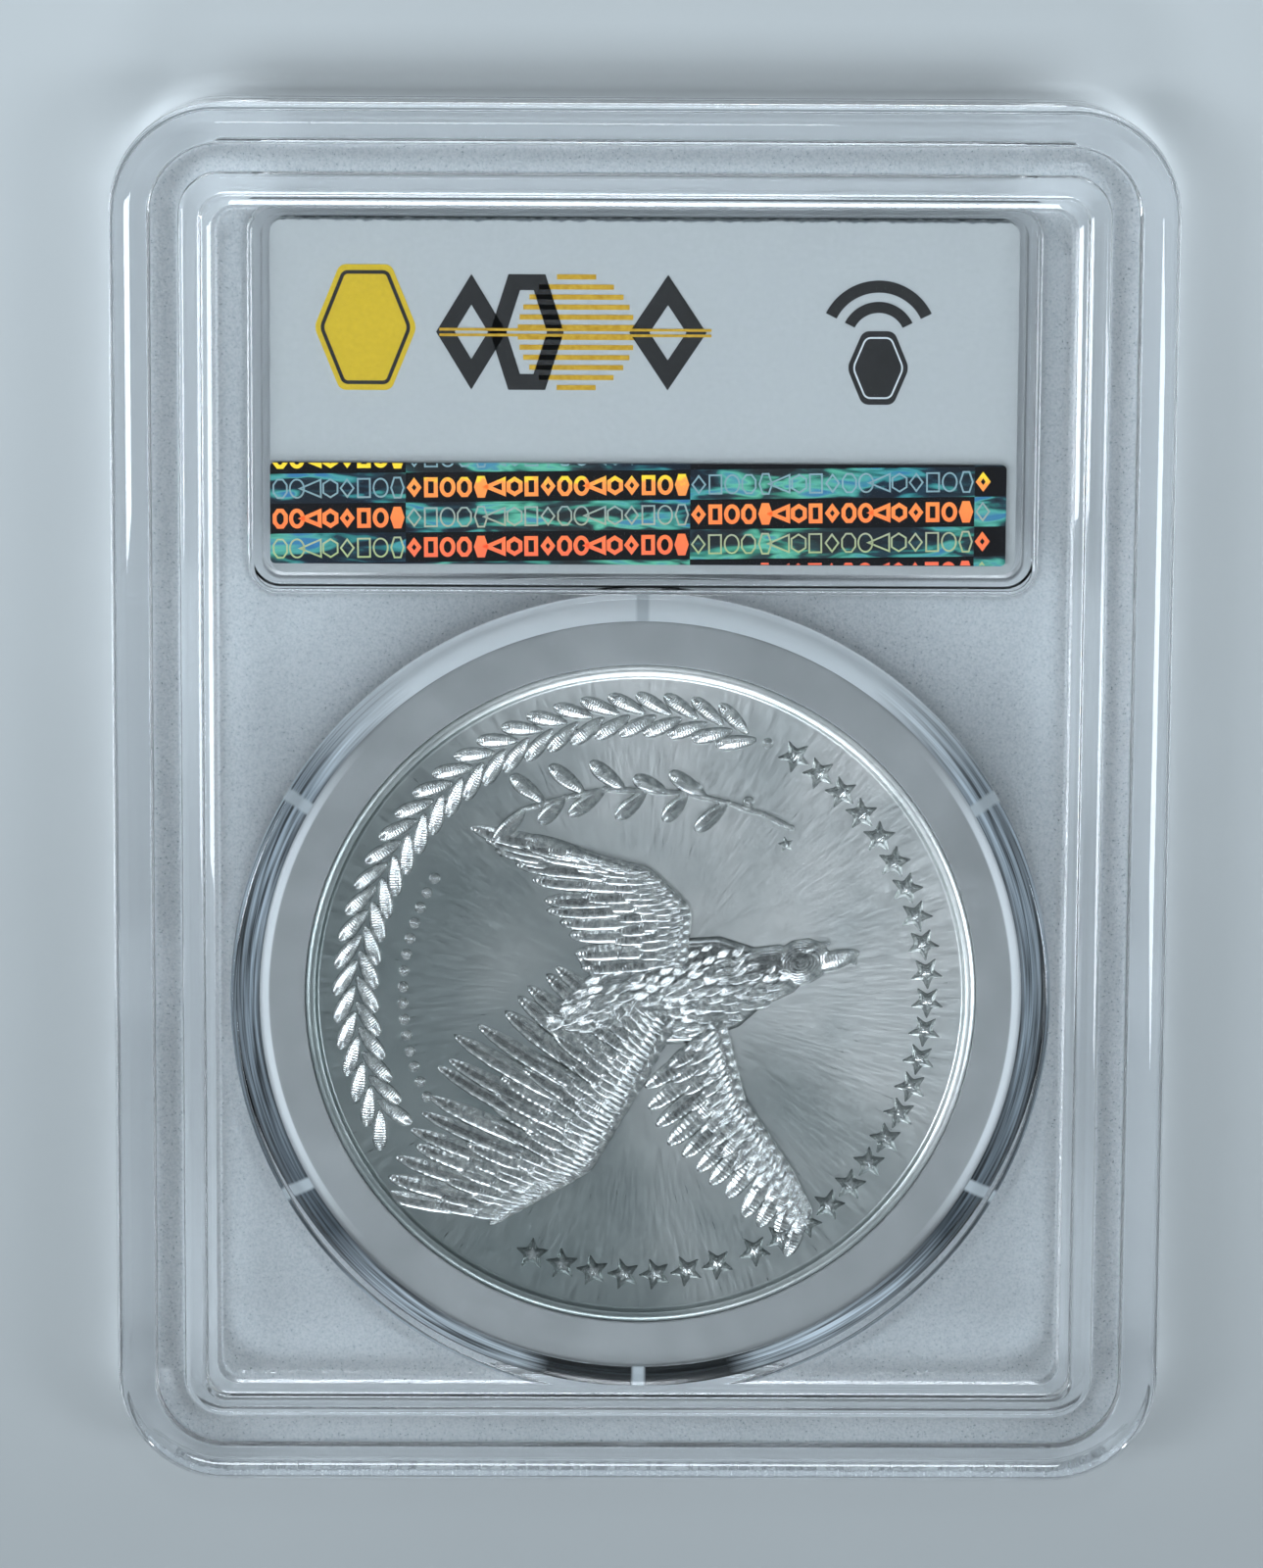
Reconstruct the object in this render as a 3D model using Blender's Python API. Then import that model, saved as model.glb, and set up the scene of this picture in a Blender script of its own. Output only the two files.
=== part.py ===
"""Graded coin slab: two clear shells welded round a coin in a soft ring and a label with a radio tag.

Metres. The slab lies on its front face, so its rear face looks up along +Z. +Y points to the label end.
The origin is under the middle of the slab, on the surface that its stacking ridge stands on.
"""

from math import cos, hypot, pi, sin

import bmesh
import bpy
from mathutils import Matrix

# Clearances
FIT_GAP = 0.0003  # between a piece and what it seats on, lies against or is welded to
STACK_CLEARANCE = 0.0003  # each side of the stacking ridge in the groove of the slab below

# Coin
COIN_DIAMETER = 0.0406
COIN_THICKNESS = 0.00298
COIN_RIM_WIDTH = 0.0009
COIN_RIM_SLOPE = 0.0002  # the rim's inner flank
COIN_FIELD_DEPTH = 0.00038  # the field lies this far below the rim, at the level that gives the coin its real mass
COIN_EDGE_CHAMFER = 0.00012

# Ring that grips the coin's edge
RING_WALL = 0.0026
RING_CROWN = 0.0005  # the rounded faces rise this much from edge to middle
LUG_LENGTH = 0.0011  # radial, from the ring's outside to the lug's tip
LUG_WIDTH = 0.0007
LUG_HEIGHT = 0.0022
LUG_COUNT = 6
LUG_ROOT = 0.0004  # how far a lug runs into the ring that it is moulded with

# Label card, its foil strip and its radio tag
LABEL_WIDTH = 0.0446
LABEL_HEIGHT = 0.0212
LABEL_THICKNESS = 0.00025
LABEL_CORNER = 0.0009
LABEL_SIDE_PLAY = 0.0005
FOIL_WIDTH = 0.0440
FOIL_HEIGHT = 0.0061
FOIL_THICKNESS = 0.00004
FOIL_BOTTOM_MARGIN = 0.0006
FILM_WIDTH = 0.0215
FILM_HEIGHT = 0.0180
FILM_THICKNESS = 0.00005
TAG_CENTRE_X = 0.0110
COIL_WIDTH = 0.0195
COIL_HEIGHT = 0.0160
COIL_TURNS = 5
COIL_PITCH = 0.0009
TRACK_WIDTH = 0.0005
TRACK_THICKNESS = 0.00004
PATCH_MARGIN = 0.0005  # the insulating patch reaches this far past the tracks and the bridge
PATCH_THICKNESS = 0.00003
BRIDGE_WIDTH = 0.0008
BRIDGE_THICKNESS = 0.00004
CHIP_SIDE = 0.0010
CHIP_THICKNESS = 0.00012

# Holder: borders round its two pockets, which with the pockets make its width and height
HOLDER_THICKNESS = 0.0079  # over the stacking ridge
OUTER_CORNER = 0.0066
INNER_CORNER = 0.0005  # the least corner radius of the frame's inner outlines
SIDE_BORDER = 0.00715
TOP_BORDER = 0.0067
BOTTOM_BORDER = 0.0054
DIVIDER = 0.0009  # wall between the label pocket and the coin well

# Frame section, as distances in from the outer edge and levels from the rear or front rim
EDGE_ROUND = 0.0010
RIM_INNER = 0.0020
GROOVE_DRAFT = 0.00015
GROOVE_DEPTH = 0.0008
GROOVE_OUTER = RIM_INNER + GROOVE_DRAFT
GROOVE_INNER = 0.00385
RIDGE_START = 0.00405
RIDGE_END = 0.00515
RIDGE_DROP = 0.0002
STEP_START = 0.0056
STEP_END = 0.00605
STEP_DROP = 0.0008
FIELD_START = 0.0065
FIELD_DROP = 0.0014
STACKING_RIDGE_HEIGHT = 0.0007
STACKING_RIDGE_DRAFT = 0.0001
FRONT_FIELD_DROP = 0.0009

# Windows raised from the frosted fields
WINDOW_DROP = 0.0009  # rear windows lie this far below the rear rim
FRONT_WINDOW_DROP = 0.0004
WINDOW_BEVEL = 0.0004
LABEL_WINDOW_MARGIN = 0.0008  # the window reaches this far past the label pocket
LABEL_WINDOW_CORNER = 0.0018
POCKET_CORNER = 0.0012
COIN_WINDOW_MARGIN = 0.0002
WINDOW_ROOT = 0.0004  # how far a window's block runs into the plate below it

# Hollows beside the pockets, and the seam
HOLLOW_INSET = 0.0062
HOLLOW_WALL = 0.0012  # kept round the coin well and the label pocket
PLATE = 0.0013  # thickness of the plates over the hollows
SEAM_GAP = FIT_GAP
BEAD_INSET = 0.00025
BEAD_WIDTH = 0.0006
BEAD_HEIGHT = 0.0006
BEAD_BEVEL = 0.00012

# Facets
CORNER_STEPS = 7
EDGE_STEPS = 4
ROUND_STEPS = 96
CROWN_STEPS = 6

# Worked out from the values above
COIN_RADIUS = COIN_DIAMETER / 2
RING_BORE = COIN_RADIUS + FIT_GAP
RING_OUTER = RING_BORE + RING_WALL
LUG_TIP = RING_OUTER + LUG_LENGTH
WELL_RADIUS = LUG_TIP + FIT_GAP
WELL_DEPTH = COIN_THICKNESS + 2 * FIT_GAP
POCKET_WIDTH = LABEL_WIDTH + 2 * LABEL_SIDE_PLAY
POCKET_HEIGHT = LABEL_HEIGHT + 2 * FIT_GAP
HALF_WIDTH = max(WELL_RADIUS, POCKET_WIDTH / 2) + SIDE_BORDER
HOLDER_WIDTH = 2 * HALF_WIDTH
HOLDER_HEIGHT = TOP_BORDER + POCKET_HEIGHT + DIVIDER + 2 * WELL_RADIUS + BOTTOM_BORDER
POCKET_Y = HOLDER_HEIGHT / 2 - TOP_BORDER - POCKET_HEIGHT / 2
COIN_Y = BOTTOM_BORDER + WELL_RADIUS - HOLDER_HEIGHT / 2
SEAM_Z = HOLDER_THICKNESS / 2
REAR_Z = HOLDER_THICKNESS
FRONT_Z = STACKING_RIDGE_HEIGHT
REBATE_DEPTH = BEAD_INSET + BEAD_WIDTH + FIT_GAP
REBATE_HALF = BEAD_HEIGHT / 2 + FIT_GAP
LAYERS = (
    ("front_label", LABEL_THICKNESS),
    ("tag_film", FILM_THICKNESS),
    ("tag_antenna", TRACK_THICKNESS),
    ("tag_insulator", PATCH_THICKNESS),
    ("tag_bridge", BRIDGE_THICKNESS),
    ("rear_label", LABEL_THICKNESS),
    ("security_foil", FOIL_THICKNESS),
)
LABEL_STACK = sum(thickness for name, thickness in LAYERS) + FIT_GAP * (len(LAYERS) - 1)
POCKET_DEPTH = LABEL_STACK + 2 * FIT_GAP


def clear_scene():
    for old in list(bpy.data.objects):
        bpy.data.objects.remove(old)


def make_material(name, colour, roughness, metallic=0.0, alpha=1.0):
    material = bpy.data.materials.new(name)
    material.use_nodes = True
    shader = material.node_tree.nodes["Principled BSDF"]
    shader.inputs["Base Color"].default_value = (*colour, 1.0)
    shader.inputs["Roughness"].default_value = roughness
    shader.inputs["Metallic"].default_value = metallic
    shader.inputs["Alpha"].default_value = alpha
    material.diffuse_color = (*colour, alpha)
    return material


def add_object(name, mesh, material, place=(0, 0, 0)):
    piece = bpy.data.objects.new(name, mesh)
    piece.location = place
    bpy.context.scene.collection.objects.link(piece)
    if material:
        mesh.materials.append(material)
    return piece


def mesh_from(name, shape, smooth_angle=0.6):
    bmesh.ops.recalc_face_normals(shape, faces=shape.faces)
    mesh = bpy.data.meshes.new(name)
    shape.to_mesh(mesh)
    shape.free()
    mesh.shade_smooth()
    mesh.set_sharp_from_angle(angle=smooth_angle)
    return mesh


def rounded_rectangle(width, height, radius, steps=CORNER_STEPS):
    """Corners of the outline, anticlockwise from the right-hand end of the top right corner's arc."""
    outline = []
    for turn, (sx, sy) in enumerate(((1, 1), (-1, 1), (-1, -1), (1, -1))):
        centre_x = sx * (width / 2 - radius)
        centre_y = sy * (height / 2 - radius)
        for step in range(steps + 1):
            angle = (turn + step / steps) * pi / 2
            outline.append((centre_x + radius * cos(angle), centre_y + radius * sin(angle)))
    return outline


def circle(radius, steps=ROUND_STEPS):
    return [(radius * cos(2 * pi * k / steps), radius * sin(2 * pi * k / steps)) for k in range(steps)]


def loft(name, loops, closed=False):
    """A solid through outlines of equal length, given as (outline, level). Closed joins the last to the first."""
    shape = bmesh.new()
    rows = [[shape.verts.new((x, y, level)) for x, y in outline] for outline, level in loops]
    pairs = list(zip(rows, rows[1:]))
    if closed:
        pairs.append((rows[-1], rows[0]))
    else:
        shape.faces.new(rows[0])
        shape.faces.new(rows[-1])
    for low, high in pairs:
        for k in range(len(low)):
            after = (k + 1) % len(low)
            shape.faces.new((low[k], low[after], high[after], high[k]))
    return mesh_from(name, shape)


def frame_loop(inset, level):
    """The holder's outline drawn in by inset, at a level."""
    radius = max(OUTER_CORNER - inset, INNER_CORNER)
    return rounded_rectangle(HOLDER_WIDTH - 2 * inset, HOLDER_HEIGHT - 2 * inset, radius), level


def block(name, outline, low, high, bevel=0.0, bevel_at_top=True):
    """An upright prism, narrowed by a bevel at one end when the outline is a function of the inset."""
    if not bevel:
        return loft(name, [(outline(0.0), low), (outline(0.0), high)])
    if bevel_at_top:
        return loft(name, [(outline(0.0), low), (outline(0.0), high - bevel), (outline(bevel), high)])
    return loft(name, [(outline(bevel), low), (outline(0.0), low + bevel), (outline(0.0), high)])


def helper(name, mesh, place=(0, 0, 0)):
    tool = add_object(name, mesh, None, place)
    tool.hide_render = True
    tool.display_type = "WIRE"
    return tool


def combine(piece, tool, operation):
    boolean = piece.modifiers.new(f"{operation.lower()} {tool.name}", "BOOLEAN")
    boolean.operation = operation
    boolean.object = tool


def turned(name, section, material, place, closed=False):
    """A piece turned about its own Z from a section of (radius, level) points, listed down the outer side."""
    shape = bmesh.new()
    points = [shape.verts.new((radius, 0, level)) for radius, level in section]
    for start, end in zip(points, points[1:]):
        shape.edges.new((start, end))
    if closed:
        shape.edges.new((points[-1], points[0]))
    mesh = bpy.data.meshes.new(name)
    shape.to_mesh(mesh)
    shape.free()
    piece = add_object(name, mesh, material, place)
    screw = piece.modifiers.new("turn", "SCREW")
    screw.steps = ROUND_STEPS
    screw.render_steps = ROUND_STEPS
    screw.use_merge_vertices = True
    screw.merge_threshold = 0.00001
    screw.use_smooth_shade = True
    return piece


def label_window_outline(inset):
    width = POCKET_WIDTH + 2 * (LABEL_WINDOW_MARGIN - inset)
    height = POCKET_HEIGHT + 2 * (LABEL_WINDOW_MARGIN - inset)
    return rounded_rectangle(width, height, LABEL_WINDOW_CORNER - inset)


def coin_window_outline(inset):
    return circle(WELL_RADIUS + COIN_WINDOW_MARGIN - inset)


def pocket_outline(inset):
    return rounded_rectangle(POCKET_WIDTH - 2 * inset, POCKET_HEIGHT - 2 * inset, POCKET_CORNER - inset)


def well_outline(inset):
    return circle(WELL_RADIUS - inset)


def rear_section():
    """Insets and levels of the rear shell, from its seam face out over the rim to the frosted field."""
    section = [
        (REBATE_DEPTH, SEAM_Z + SEAM_GAP / 2),
        (REBATE_DEPTH, SEAM_Z + REBATE_HALF),
        (0.0, SEAM_Z + REBATE_HALF),
    ]
    for step in range(EDGE_STEPS + 1):
        angle = step / EDGE_STEPS * pi / 2
        section.append((EDGE_ROUND * (1 - cos(angle)), REAR_Z - EDGE_ROUND * (1 - sin(angle))))
    section += [
        (RIM_INNER, REAR_Z),
        (GROOVE_OUTER, REAR_Z - GROOVE_DEPTH),
        (GROOVE_INNER, REAR_Z - GROOVE_DEPTH),
        (RIDGE_START, REAR_Z - RIDGE_DROP),
        (RIDGE_END, REAR_Z - RIDGE_DROP),
        (STEP_START, REAR_Z - STEP_DROP),
        (STEP_END, REAR_Z - STEP_DROP),
        (FIELD_START, REAR_Z - FIELD_DROP),
    ]
    return section


def front_section():
    """Insets and levels of the front shell, from its seam face out over the rim and stacking ridge to the field."""
    ridge_outer = GROOVE_OUTER + STACK_CLEARANCE
    ridge_inner = GROOVE_INNER - STACK_CLEARANCE
    section = [
        (REBATE_DEPTH, SEAM_Z - SEAM_GAP / 2),
        (REBATE_DEPTH, SEAM_Z - REBATE_HALF),
        (0.0, SEAM_Z - REBATE_HALF),
    ]
    for step in range(EDGE_STEPS + 1):
        angle = step / EDGE_STEPS * pi / 2
        section.append((EDGE_ROUND * (1 - cos(angle)), FRONT_Z + EDGE_ROUND * (1 - sin(angle))))
    section += [
        (ridge_outer, FRONT_Z),
        (ridge_outer + STACKING_RIDGE_DRAFT, 0.0),
        (ridge_inner - STACKING_RIDGE_DRAFT, 0.0),
        (ridge_inner, FRONT_Z),
        (STEP_START, FRONT_Z),
        (FIELD_START, FRONT_Z + FRONT_FIELD_DROP),
    ]
    return section


def hollows(name, low, high):
    """The space beside the coin well and the label pocket, as a cutter with its own cuts."""
    hollow = helper(name, loft(name, [frame_loop(HOLLOW_INSET, low), frame_loop(HOLLOW_INSET, high)]))
    well = block(f"{name} well", lambda inset: circle(WELL_RADIUS + HOLLOW_WALL), low - PLATE, high + PLATE)
    combine(hollow, helper(f"{name} well", well, (0, COIN_Y, 0)), "DIFFERENCE")
    width = POCKET_WIDTH + 2 * HOLLOW_WALL
    height = POCKET_HEIGHT + 2 * HOLLOW_WALL
    corner = POCKET_CORNER + HOLLOW_WALL
    pocket = block(
        f"{name} pocket", lambda inset: rounded_rectangle(width, height, corner), low - PLATE, high + PLATE
    )
    combine(hollow, helper(f"{name} pocket", pocket, (0, POCKET_Y, 0)), "DIFFERENCE")
    return hollow


def shell(name, section, outward, window_level, material):
    """One half of the holder. Outward is 1 for the rear shell, which opens downwards, and -1 for the front."""
    piece = add_object(name, loft(name, [frame_loop(*point) for point in section]), material)
    field_inset, field_level = section[-1]
    for title, outline, centre_y in (
        ("label window", label_window_outline, POCKET_Y),
        ("coin window", coin_window_outline, COIN_Y),
    ):
        ends = sorted((field_level - outward * WINDOW_ROOT, window_level))
        window = block(f"{name} {title}", outline, *ends, WINDOW_BEVEL, outward > 0)
        combine(piece, helper(f"{name} {title}", window, (0, centre_y, 0)), "UNION")
    past_seam = SEAM_Z - outward * PLATE
    for title, outline, centre_y, depth in (
        ("label pocket", pocket_outline, POCKET_Y, POCKET_DEPTH),
        ("coin well", well_outline, COIN_Y, WELL_DEPTH),
    ):
        ends = sorted((past_seam, SEAM_Z + outward * depth / 2))
        pocket = block(f"{name} {title}", outline, *ends)
        combine(piece, helper(f"{name} {title}", pocket, (0, centre_y, 0)), "DIFFERENCE")
    ends = sorted((past_seam, field_level - outward * PLATE))
    combine(piece, hollows(f"{name} hollows", *ends), "DIFFERENCE")
    return piece


def weld_bead(material):
    """The band of plastic that melted at the seam, all round the edge."""
    low = SEAM_Z - BEAD_HEIGHT / 2
    high = SEAM_Z + BEAD_HEIGHT / 2
    outer = BEAD_INSET
    inner = BEAD_INSET + BEAD_WIDTH
    section = (
        (outer, low + BEAD_BEVEL),
        (outer + BEAD_BEVEL, low),
        (inner - BEAD_BEVEL, low),
        (inner, low + BEAD_BEVEL),
        (inner, high - BEAD_BEVEL),
        (inner - BEAD_BEVEL, high),
        (outer + BEAD_BEVEL, high),
        (outer, high - BEAD_BEVEL),
    )
    mesh = loft("weld_bead", [frame_loop(*point) for point in section], closed=True)
    return add_object("weld_bead", mesh, material)


def coin(material):
    half = COIN_THICKNESS / 2
    field = half - COIN_FIELD_DEPTH
    rim_inner = COIN_RADIUS - COIN_RIM_WIDTH
    upper = [
        (0.0, field),
        (rim_inner - COIN_RIM_SLOPE, field),
        (rim_inner, half),
        (COIN_RADIUS - COIN_EDGE_CHAMFER, half),
        (COIN_RADIUS, half - COIN_EDGE_CHAMFER),
    ]
    lower = [(radius, -level) for radius, level in reversed(upper)]
    return turned("coin", upper + lower, material, (0, COIN_Y, SEAM_Z))


def coin_ring(material):
    """The soft ring that grips the coin, with lugs that centre it in the well."""
    half = COIN_THICKNESS / 2
    side = half - RING_CROWN
    crown = []
    for step in range(CROWN_STEPS + 1):
        share = step / CROWN_STEPS
        crown.append((RING_BORE + RING_WALL * share, side + RING_CROWN * sin(pi * share)))
    section = crown + [(radius, -level) for radius, level in reversed(crown)]
    ring = turned("coin_ring", section, material, (0, COIN_Y, SEAM_Z), closed=True)
    length = LUG_LENGTH + LUG_ROOT
    for k in range(LUG_COUNT):
        turn = Matrix.Rotation(pi / 2 + 2 * pi * k / LUG_COUNT, 4, "Z")
        reach = Matrix.Translation((RING_OUTER - LUG_ROOT + length / 2, 0, 0))
        size = Matrix.Diagonal((length, LUG_WIDTH, LUG_HEIGHT, 1))
        lug = bmesh.new()
        bmesh.ops.create_cube(lug, size=1.0, matrix=turn @ reach @ size)
        mesh = mesh_from(f"lug {k}", lug)
        combine(ring, helper(f"lug {k}", mesh, (0, COIN_Y, SEAM_Z)), "UNION")
    return ring


def layer_level(name):
    """The underside of a layer in the label pocket, counted up from the front label."""
    level = SEAM_Z - LABEL_STACK / 2
    for layer, thickness in LAYERS:
        if layer == name:
            return level
        level += thickness + FIT_GAP
    return level


def sheet(name, width, height, thickness, corner, centre, level, material):
    """A flat rectangular layer with rounded corners."""
    outline = rounded_rectangle(width, height, corner)
    mesh = loft(name, [(outline, 0.0), (outline, thickness)])
    return add_object(name, mesh, material, (*centre, level))


def coil_line():
    """Corners of the antenna's centre line, spiralling in from its outer end at the lower left."""
    line = [(-COIL_WIDTH / 2, -COIL_HEIGHT / 2)]
    for turn in range(COIL_TURNS):
        x = COIL_WIDTH / 2 - turn * COIL_PITCH
        y = COIL_HEIGHT / 2 - turn * COIL_PITCH
        line += [(x, -y), (x, y), (-x, y), (-x, COIL_PITCH - y)]
    return line


def antenna(material, centre):
    """The etched track: a flat band that follows the coil's line with square corners."""
    line = coil_line()
    half = TRACK_WIDTH / 2
    shape = bmesh.new()
    rows = []
    for k, (x, y) in enumerate(line):
        before = line[max(k - 1, 0)]
        after = line[min(k + 1, len(line) - 1)]
        legs = [leg for leg in (direction(before, (x, y)), direction((x, y), after)) if leg]
        left_x = -half * sum(leg[1] for leg in legs)
        left_y = half * sum(leg[0] for leg in legs)
        rows.append((shape.verts.new((x + left_x, y + left_y, 0)), shape.verts.new((x - left_x, y - left_y, 0))))
    for (left, right), (next_left, next_right) in zip(rows, rows[1:]):
        shape.faces.new((left, right, next_right, next_left))
    mesh = bpy.data.meshes.new("tag_antenna")
    bmesh.ops.recalc_face_normals(shape, faces=shape.faces)
    shape.to_mesh(mesh)
    shape.free()
    piece = add_object("tag_antenna", mesh, material, (*centre, layer_level("tag_antenna")))
    depth = piece.modifiers.new("thickness", "SOLIDIFY")
    depth.thickness = TRACK_THICKNESS
    depth.offset = 0.0
    piece.location.z += TRACK_THICKNESS / 2
    return piece


def direction(start, end):
    length = hypot(end[0] - start[0], end[1] - start[1])
    return ((end[0] - start[0]) / length, (end[1] - start[1]) / length) if length else None


def radio_tag(film_material, metal, chip_material, patch_material):
    centre = (TAG_CENTRE_X, POCKET_Y)
    sheet(
        "tag_film", FILM_WIDTH, FILM_HEIGHT, FILM_THICKNESS, LABEL_CORNER, centre,
        layer_level("tag_film"), film_material,
    )
    antenna(metal, centre)
    tracks = COIL_TURNS * COIL_PITCH
    crossing = (centre[0] - COIL_WIDTH / 2 + tracks / 2, centre[1])
    bridge_length = tracks + 2 * TRACK_WIDTH
    sheet(
        "tag_bridge", bridge_length, BRIDGE_WIDTH, BRIDGE_THICKNESS, TRACK_WIDTH / 4, crossing,
        layer_level("tag_bridge"), metal,
    )
    sheet(
        "tag_insulator", bridge_length + 2 * PATCH_MARGIN, BRIDGE_WIDTH + 2 * PATCH_MARGIN, PATCH_THICKNESS,
        PATCH_MARGIN / 2, crossing, layer_level("tag_insulator"), patch_material,
    )
    chip_level = layer_level("tag_antenna") + TRACK_THICKNESS + FIT_GAP
    chip_place = (centre[0] + COIL_WIDTH / 2 - tracks - CHIP_SIDE, centre[1])
    sheet("tag_chip", CHIP_SIDE, CHIP_SIDE, CHIP_THICKNESS, CHIP_SIDE / 20, chip_place, chip_level, chip_material)


def label_cards(paper, foil):
    centre = (0.0, POCKET_Y)
    for name in ("front_label", "rear_label"):
        sheet(name, LABEL_WIDTH, LABEL_HEIGHT, LABEL_THICKNESS, LABEL_CORNER, centre, layer_level(name), paper)
    foil_x = (FOIL_WIDTH - LABEL_WIDTH) / 2
    foil_y = POCKET_Y - LABEL_HEIGHT / 2 + FOIL_BOTTOM_MARGIN + FOIL_HEIGHT / 2
    sheet(
        "security_foil", FOIL_WIDTH, FOIL_HEIGHT, FOIL_THICKNESS, FOIL_BOTTOM_MARGIN / 2, (foil_x, foil_y),
        layer_level("security_foil"), foil,
    )


def main():
    clear_scene()
    clear = make_material("clear polystyrene", (0.80, 0.86, 0.89), 0.08, alpha=0.3)
    fused = make_material("fused polystyrene", (0.88, 0.92, 0.94), 0.35, alpha=0.6)
    soft = make_material("translucent ring plastic", (0.55, 0.59, 0.61), 0.35)
    silver = make_material("struck silver", (0.78, 0.79, 0.77), 0.3, metallic=1.0)
    paper = make_material("coated card", (0.72, 0.77, 0.79), 0.5)
    foil = make_material("diffractive foil", (0.16, 0.30, 0.28), 0.25, metallic=1.0)
    film = make_material("polyester film", (0.80, 0.82, 0.80), 0.3, alpha=0.5)
    metal = make_material("etched aluminium", (0.75, 0.75, 0.76), 0.35, metallic=1.0)
    patch = make_material("insulating lacquer", (0.30, 0.45, 0.32), 0.4)
    silicon = make_material("silicon", (0.06, 0.06, 0.07), 0.3)

    shell("rear_shell", rear_section(), 1, REAR_Z - WINDOW_DROP, clear)
    shell("front_shell", front_section(), -1, FRONT_Z + FRONT_WINDOW_DROP, clear)
    weld_bead(fused)
    coin(silver)
    coin_ring(soft)
    label_cards(paper, foil)
    radio_tag(film, metal, silicon, patch)


main()
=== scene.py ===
import math
import random
from functools import partial

import bpy
from mathutils import Matrix, Vector


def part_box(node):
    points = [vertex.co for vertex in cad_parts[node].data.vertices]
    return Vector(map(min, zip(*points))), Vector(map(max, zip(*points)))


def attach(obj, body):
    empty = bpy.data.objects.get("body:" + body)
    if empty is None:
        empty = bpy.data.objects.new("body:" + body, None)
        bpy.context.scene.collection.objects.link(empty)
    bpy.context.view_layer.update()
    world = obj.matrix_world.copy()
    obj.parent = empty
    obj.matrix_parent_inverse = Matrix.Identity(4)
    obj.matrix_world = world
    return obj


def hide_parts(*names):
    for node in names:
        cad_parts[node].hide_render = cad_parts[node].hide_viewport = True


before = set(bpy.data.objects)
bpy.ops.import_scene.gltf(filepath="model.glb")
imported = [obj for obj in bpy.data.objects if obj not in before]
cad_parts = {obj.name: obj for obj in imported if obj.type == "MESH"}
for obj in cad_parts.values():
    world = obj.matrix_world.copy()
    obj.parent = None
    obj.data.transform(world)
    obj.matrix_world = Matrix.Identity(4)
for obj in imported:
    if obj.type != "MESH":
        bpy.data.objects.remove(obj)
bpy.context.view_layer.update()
mm = 0.001
print("frame loaded:", len(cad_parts), "CAD nodes")


# small tools

def toLinear(hexColour):
    channels = [int(hexColour[i:i + 2], 16) / 255 for i in (1, 3, 5)]
    return tuple(c / 12.92 if c <= 0.04045 else ((c + 0.055) / 1.055) ** 2.4 for c in channels) + (1.0,)


def asSetting(value):
    return toLinear(value) if isinstance(value, str) else value


def newMaterial(name, settings=None):
    # also gives the place on the piece, by which patterns are laid, and a way to add nodes
    material = bpy.data.materials.new(name)
    material.use_nodes = True
    shader = material.node_tree.nodes["Principled BSDF"]
    for socket, value in (settings or {}).items():
        shader.inputs[socket].default_value = asSetting(value)
    add = partial(addNode, material)
    return material, shader, add("TexCoord").outputs["Object"], add


def addNode(owner, kind, settings=None, links=None):
    # kind may end in an operation, as in "Math ADD"
    kind, _, operation = kind.partition(" ")
    node = owner.node_tree.nodes.new("ShaderNode" + kind)
    if operation:
        node.operation = operation
    for key, value in (settings or {}).items():
        if key == "stops":
            while len(node.color_ramp.elements) < len(value):
                node.color_ramp.elements.new(1.0)
            for element, (place, colour) in zip(node.color_ramp.elements, value):
                element.position = place
                element.color = toLinear(colour)
        elif isinstance(key, str) and hasattr(node, key):
            setattr(node, key, value)
        else:
            node.inputs[key].default_value = asSetting(value)
    for key, source in (links or {}).items():
        link(source, node, key)
    return node


def link(source, node, socket):
    # a node stands for its first output
    output = source.outputs[0] if isinstance(source, bpy.types.Node) else source
    node.id_data.links.new(output, node.inputs[socket])


def wire(shader, colour, rough, bump=None):
    for socket, source in (("Base Color", colour), ("Roughness", rough), ("Normal", bump)):
        if source:
            link(source, shader, socket)


def clearSelection():
    if bpy.context.object and bpy.context.object.mode != "OBJECT":
        bpy.ops.object.mode_set(mode="OBJECT")
    bpy.ops.object.select_all(action="DESELECT")


def pickOnly(piece):
    clearSelection()
    piece.select_set(True)
    bpy.context.view_layer.objects.active = piece


def editAll(piece=None):
    # into edit mode, with everything selected
    if piece:
        pickOnly(piece)
    bpy.ops.object.mode_set(mode="EDIT")
    bpy.ops.mesh.select_all(action="SELECT")


def named(name):
    piece = bpy.context.object
    piece.name = name
    piece.data.name = name
    return piece


def settle(piece):
    pickOnly(piece)
    bpy.ops.object.transform_apply(location=True, rotation=True, scale=True)
    return piece


def useModifier(piece, kind, settings):
    pickOnly(piece)
    modifier = piece.modifiers.new(kind.title(), kind)
    for key, value in settings.items():
        setattr(modifier, key, value)
    bpy.ops.object.modifier_apply(modifier=modifier.name)


def combine(piece, tool, operation):
    useModifier(piece, "BOOLEAN", {"operation": operation, "object": tool, "solver": "EXACT"})
    bpy.data.objects.remove(tool)


def tidyMesh(piece, smoothAngle=30, weighted=False):
    editAll(piece)
    bpy.ops.mesh.remove_doubles(threshold=0.002 * mm)
    bpy.ops.mesh.normals_make_consistent(inside=False)
    bpy.ops.object.mode_set(mode="OBJECT")
    bpy.ops.object.shade_smooth_by_angle(angle=math.radians(smoothAngle))
    if weighted:
        useModifier(piece, "WEIGHTED_NORMAL", {"keep_sharp": True, "weight": 50})


def paint(piece, *materials):
    piece.data.materials.clear()
    for material in materials:
        piece.data.materials.append(material)
    return piece


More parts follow.
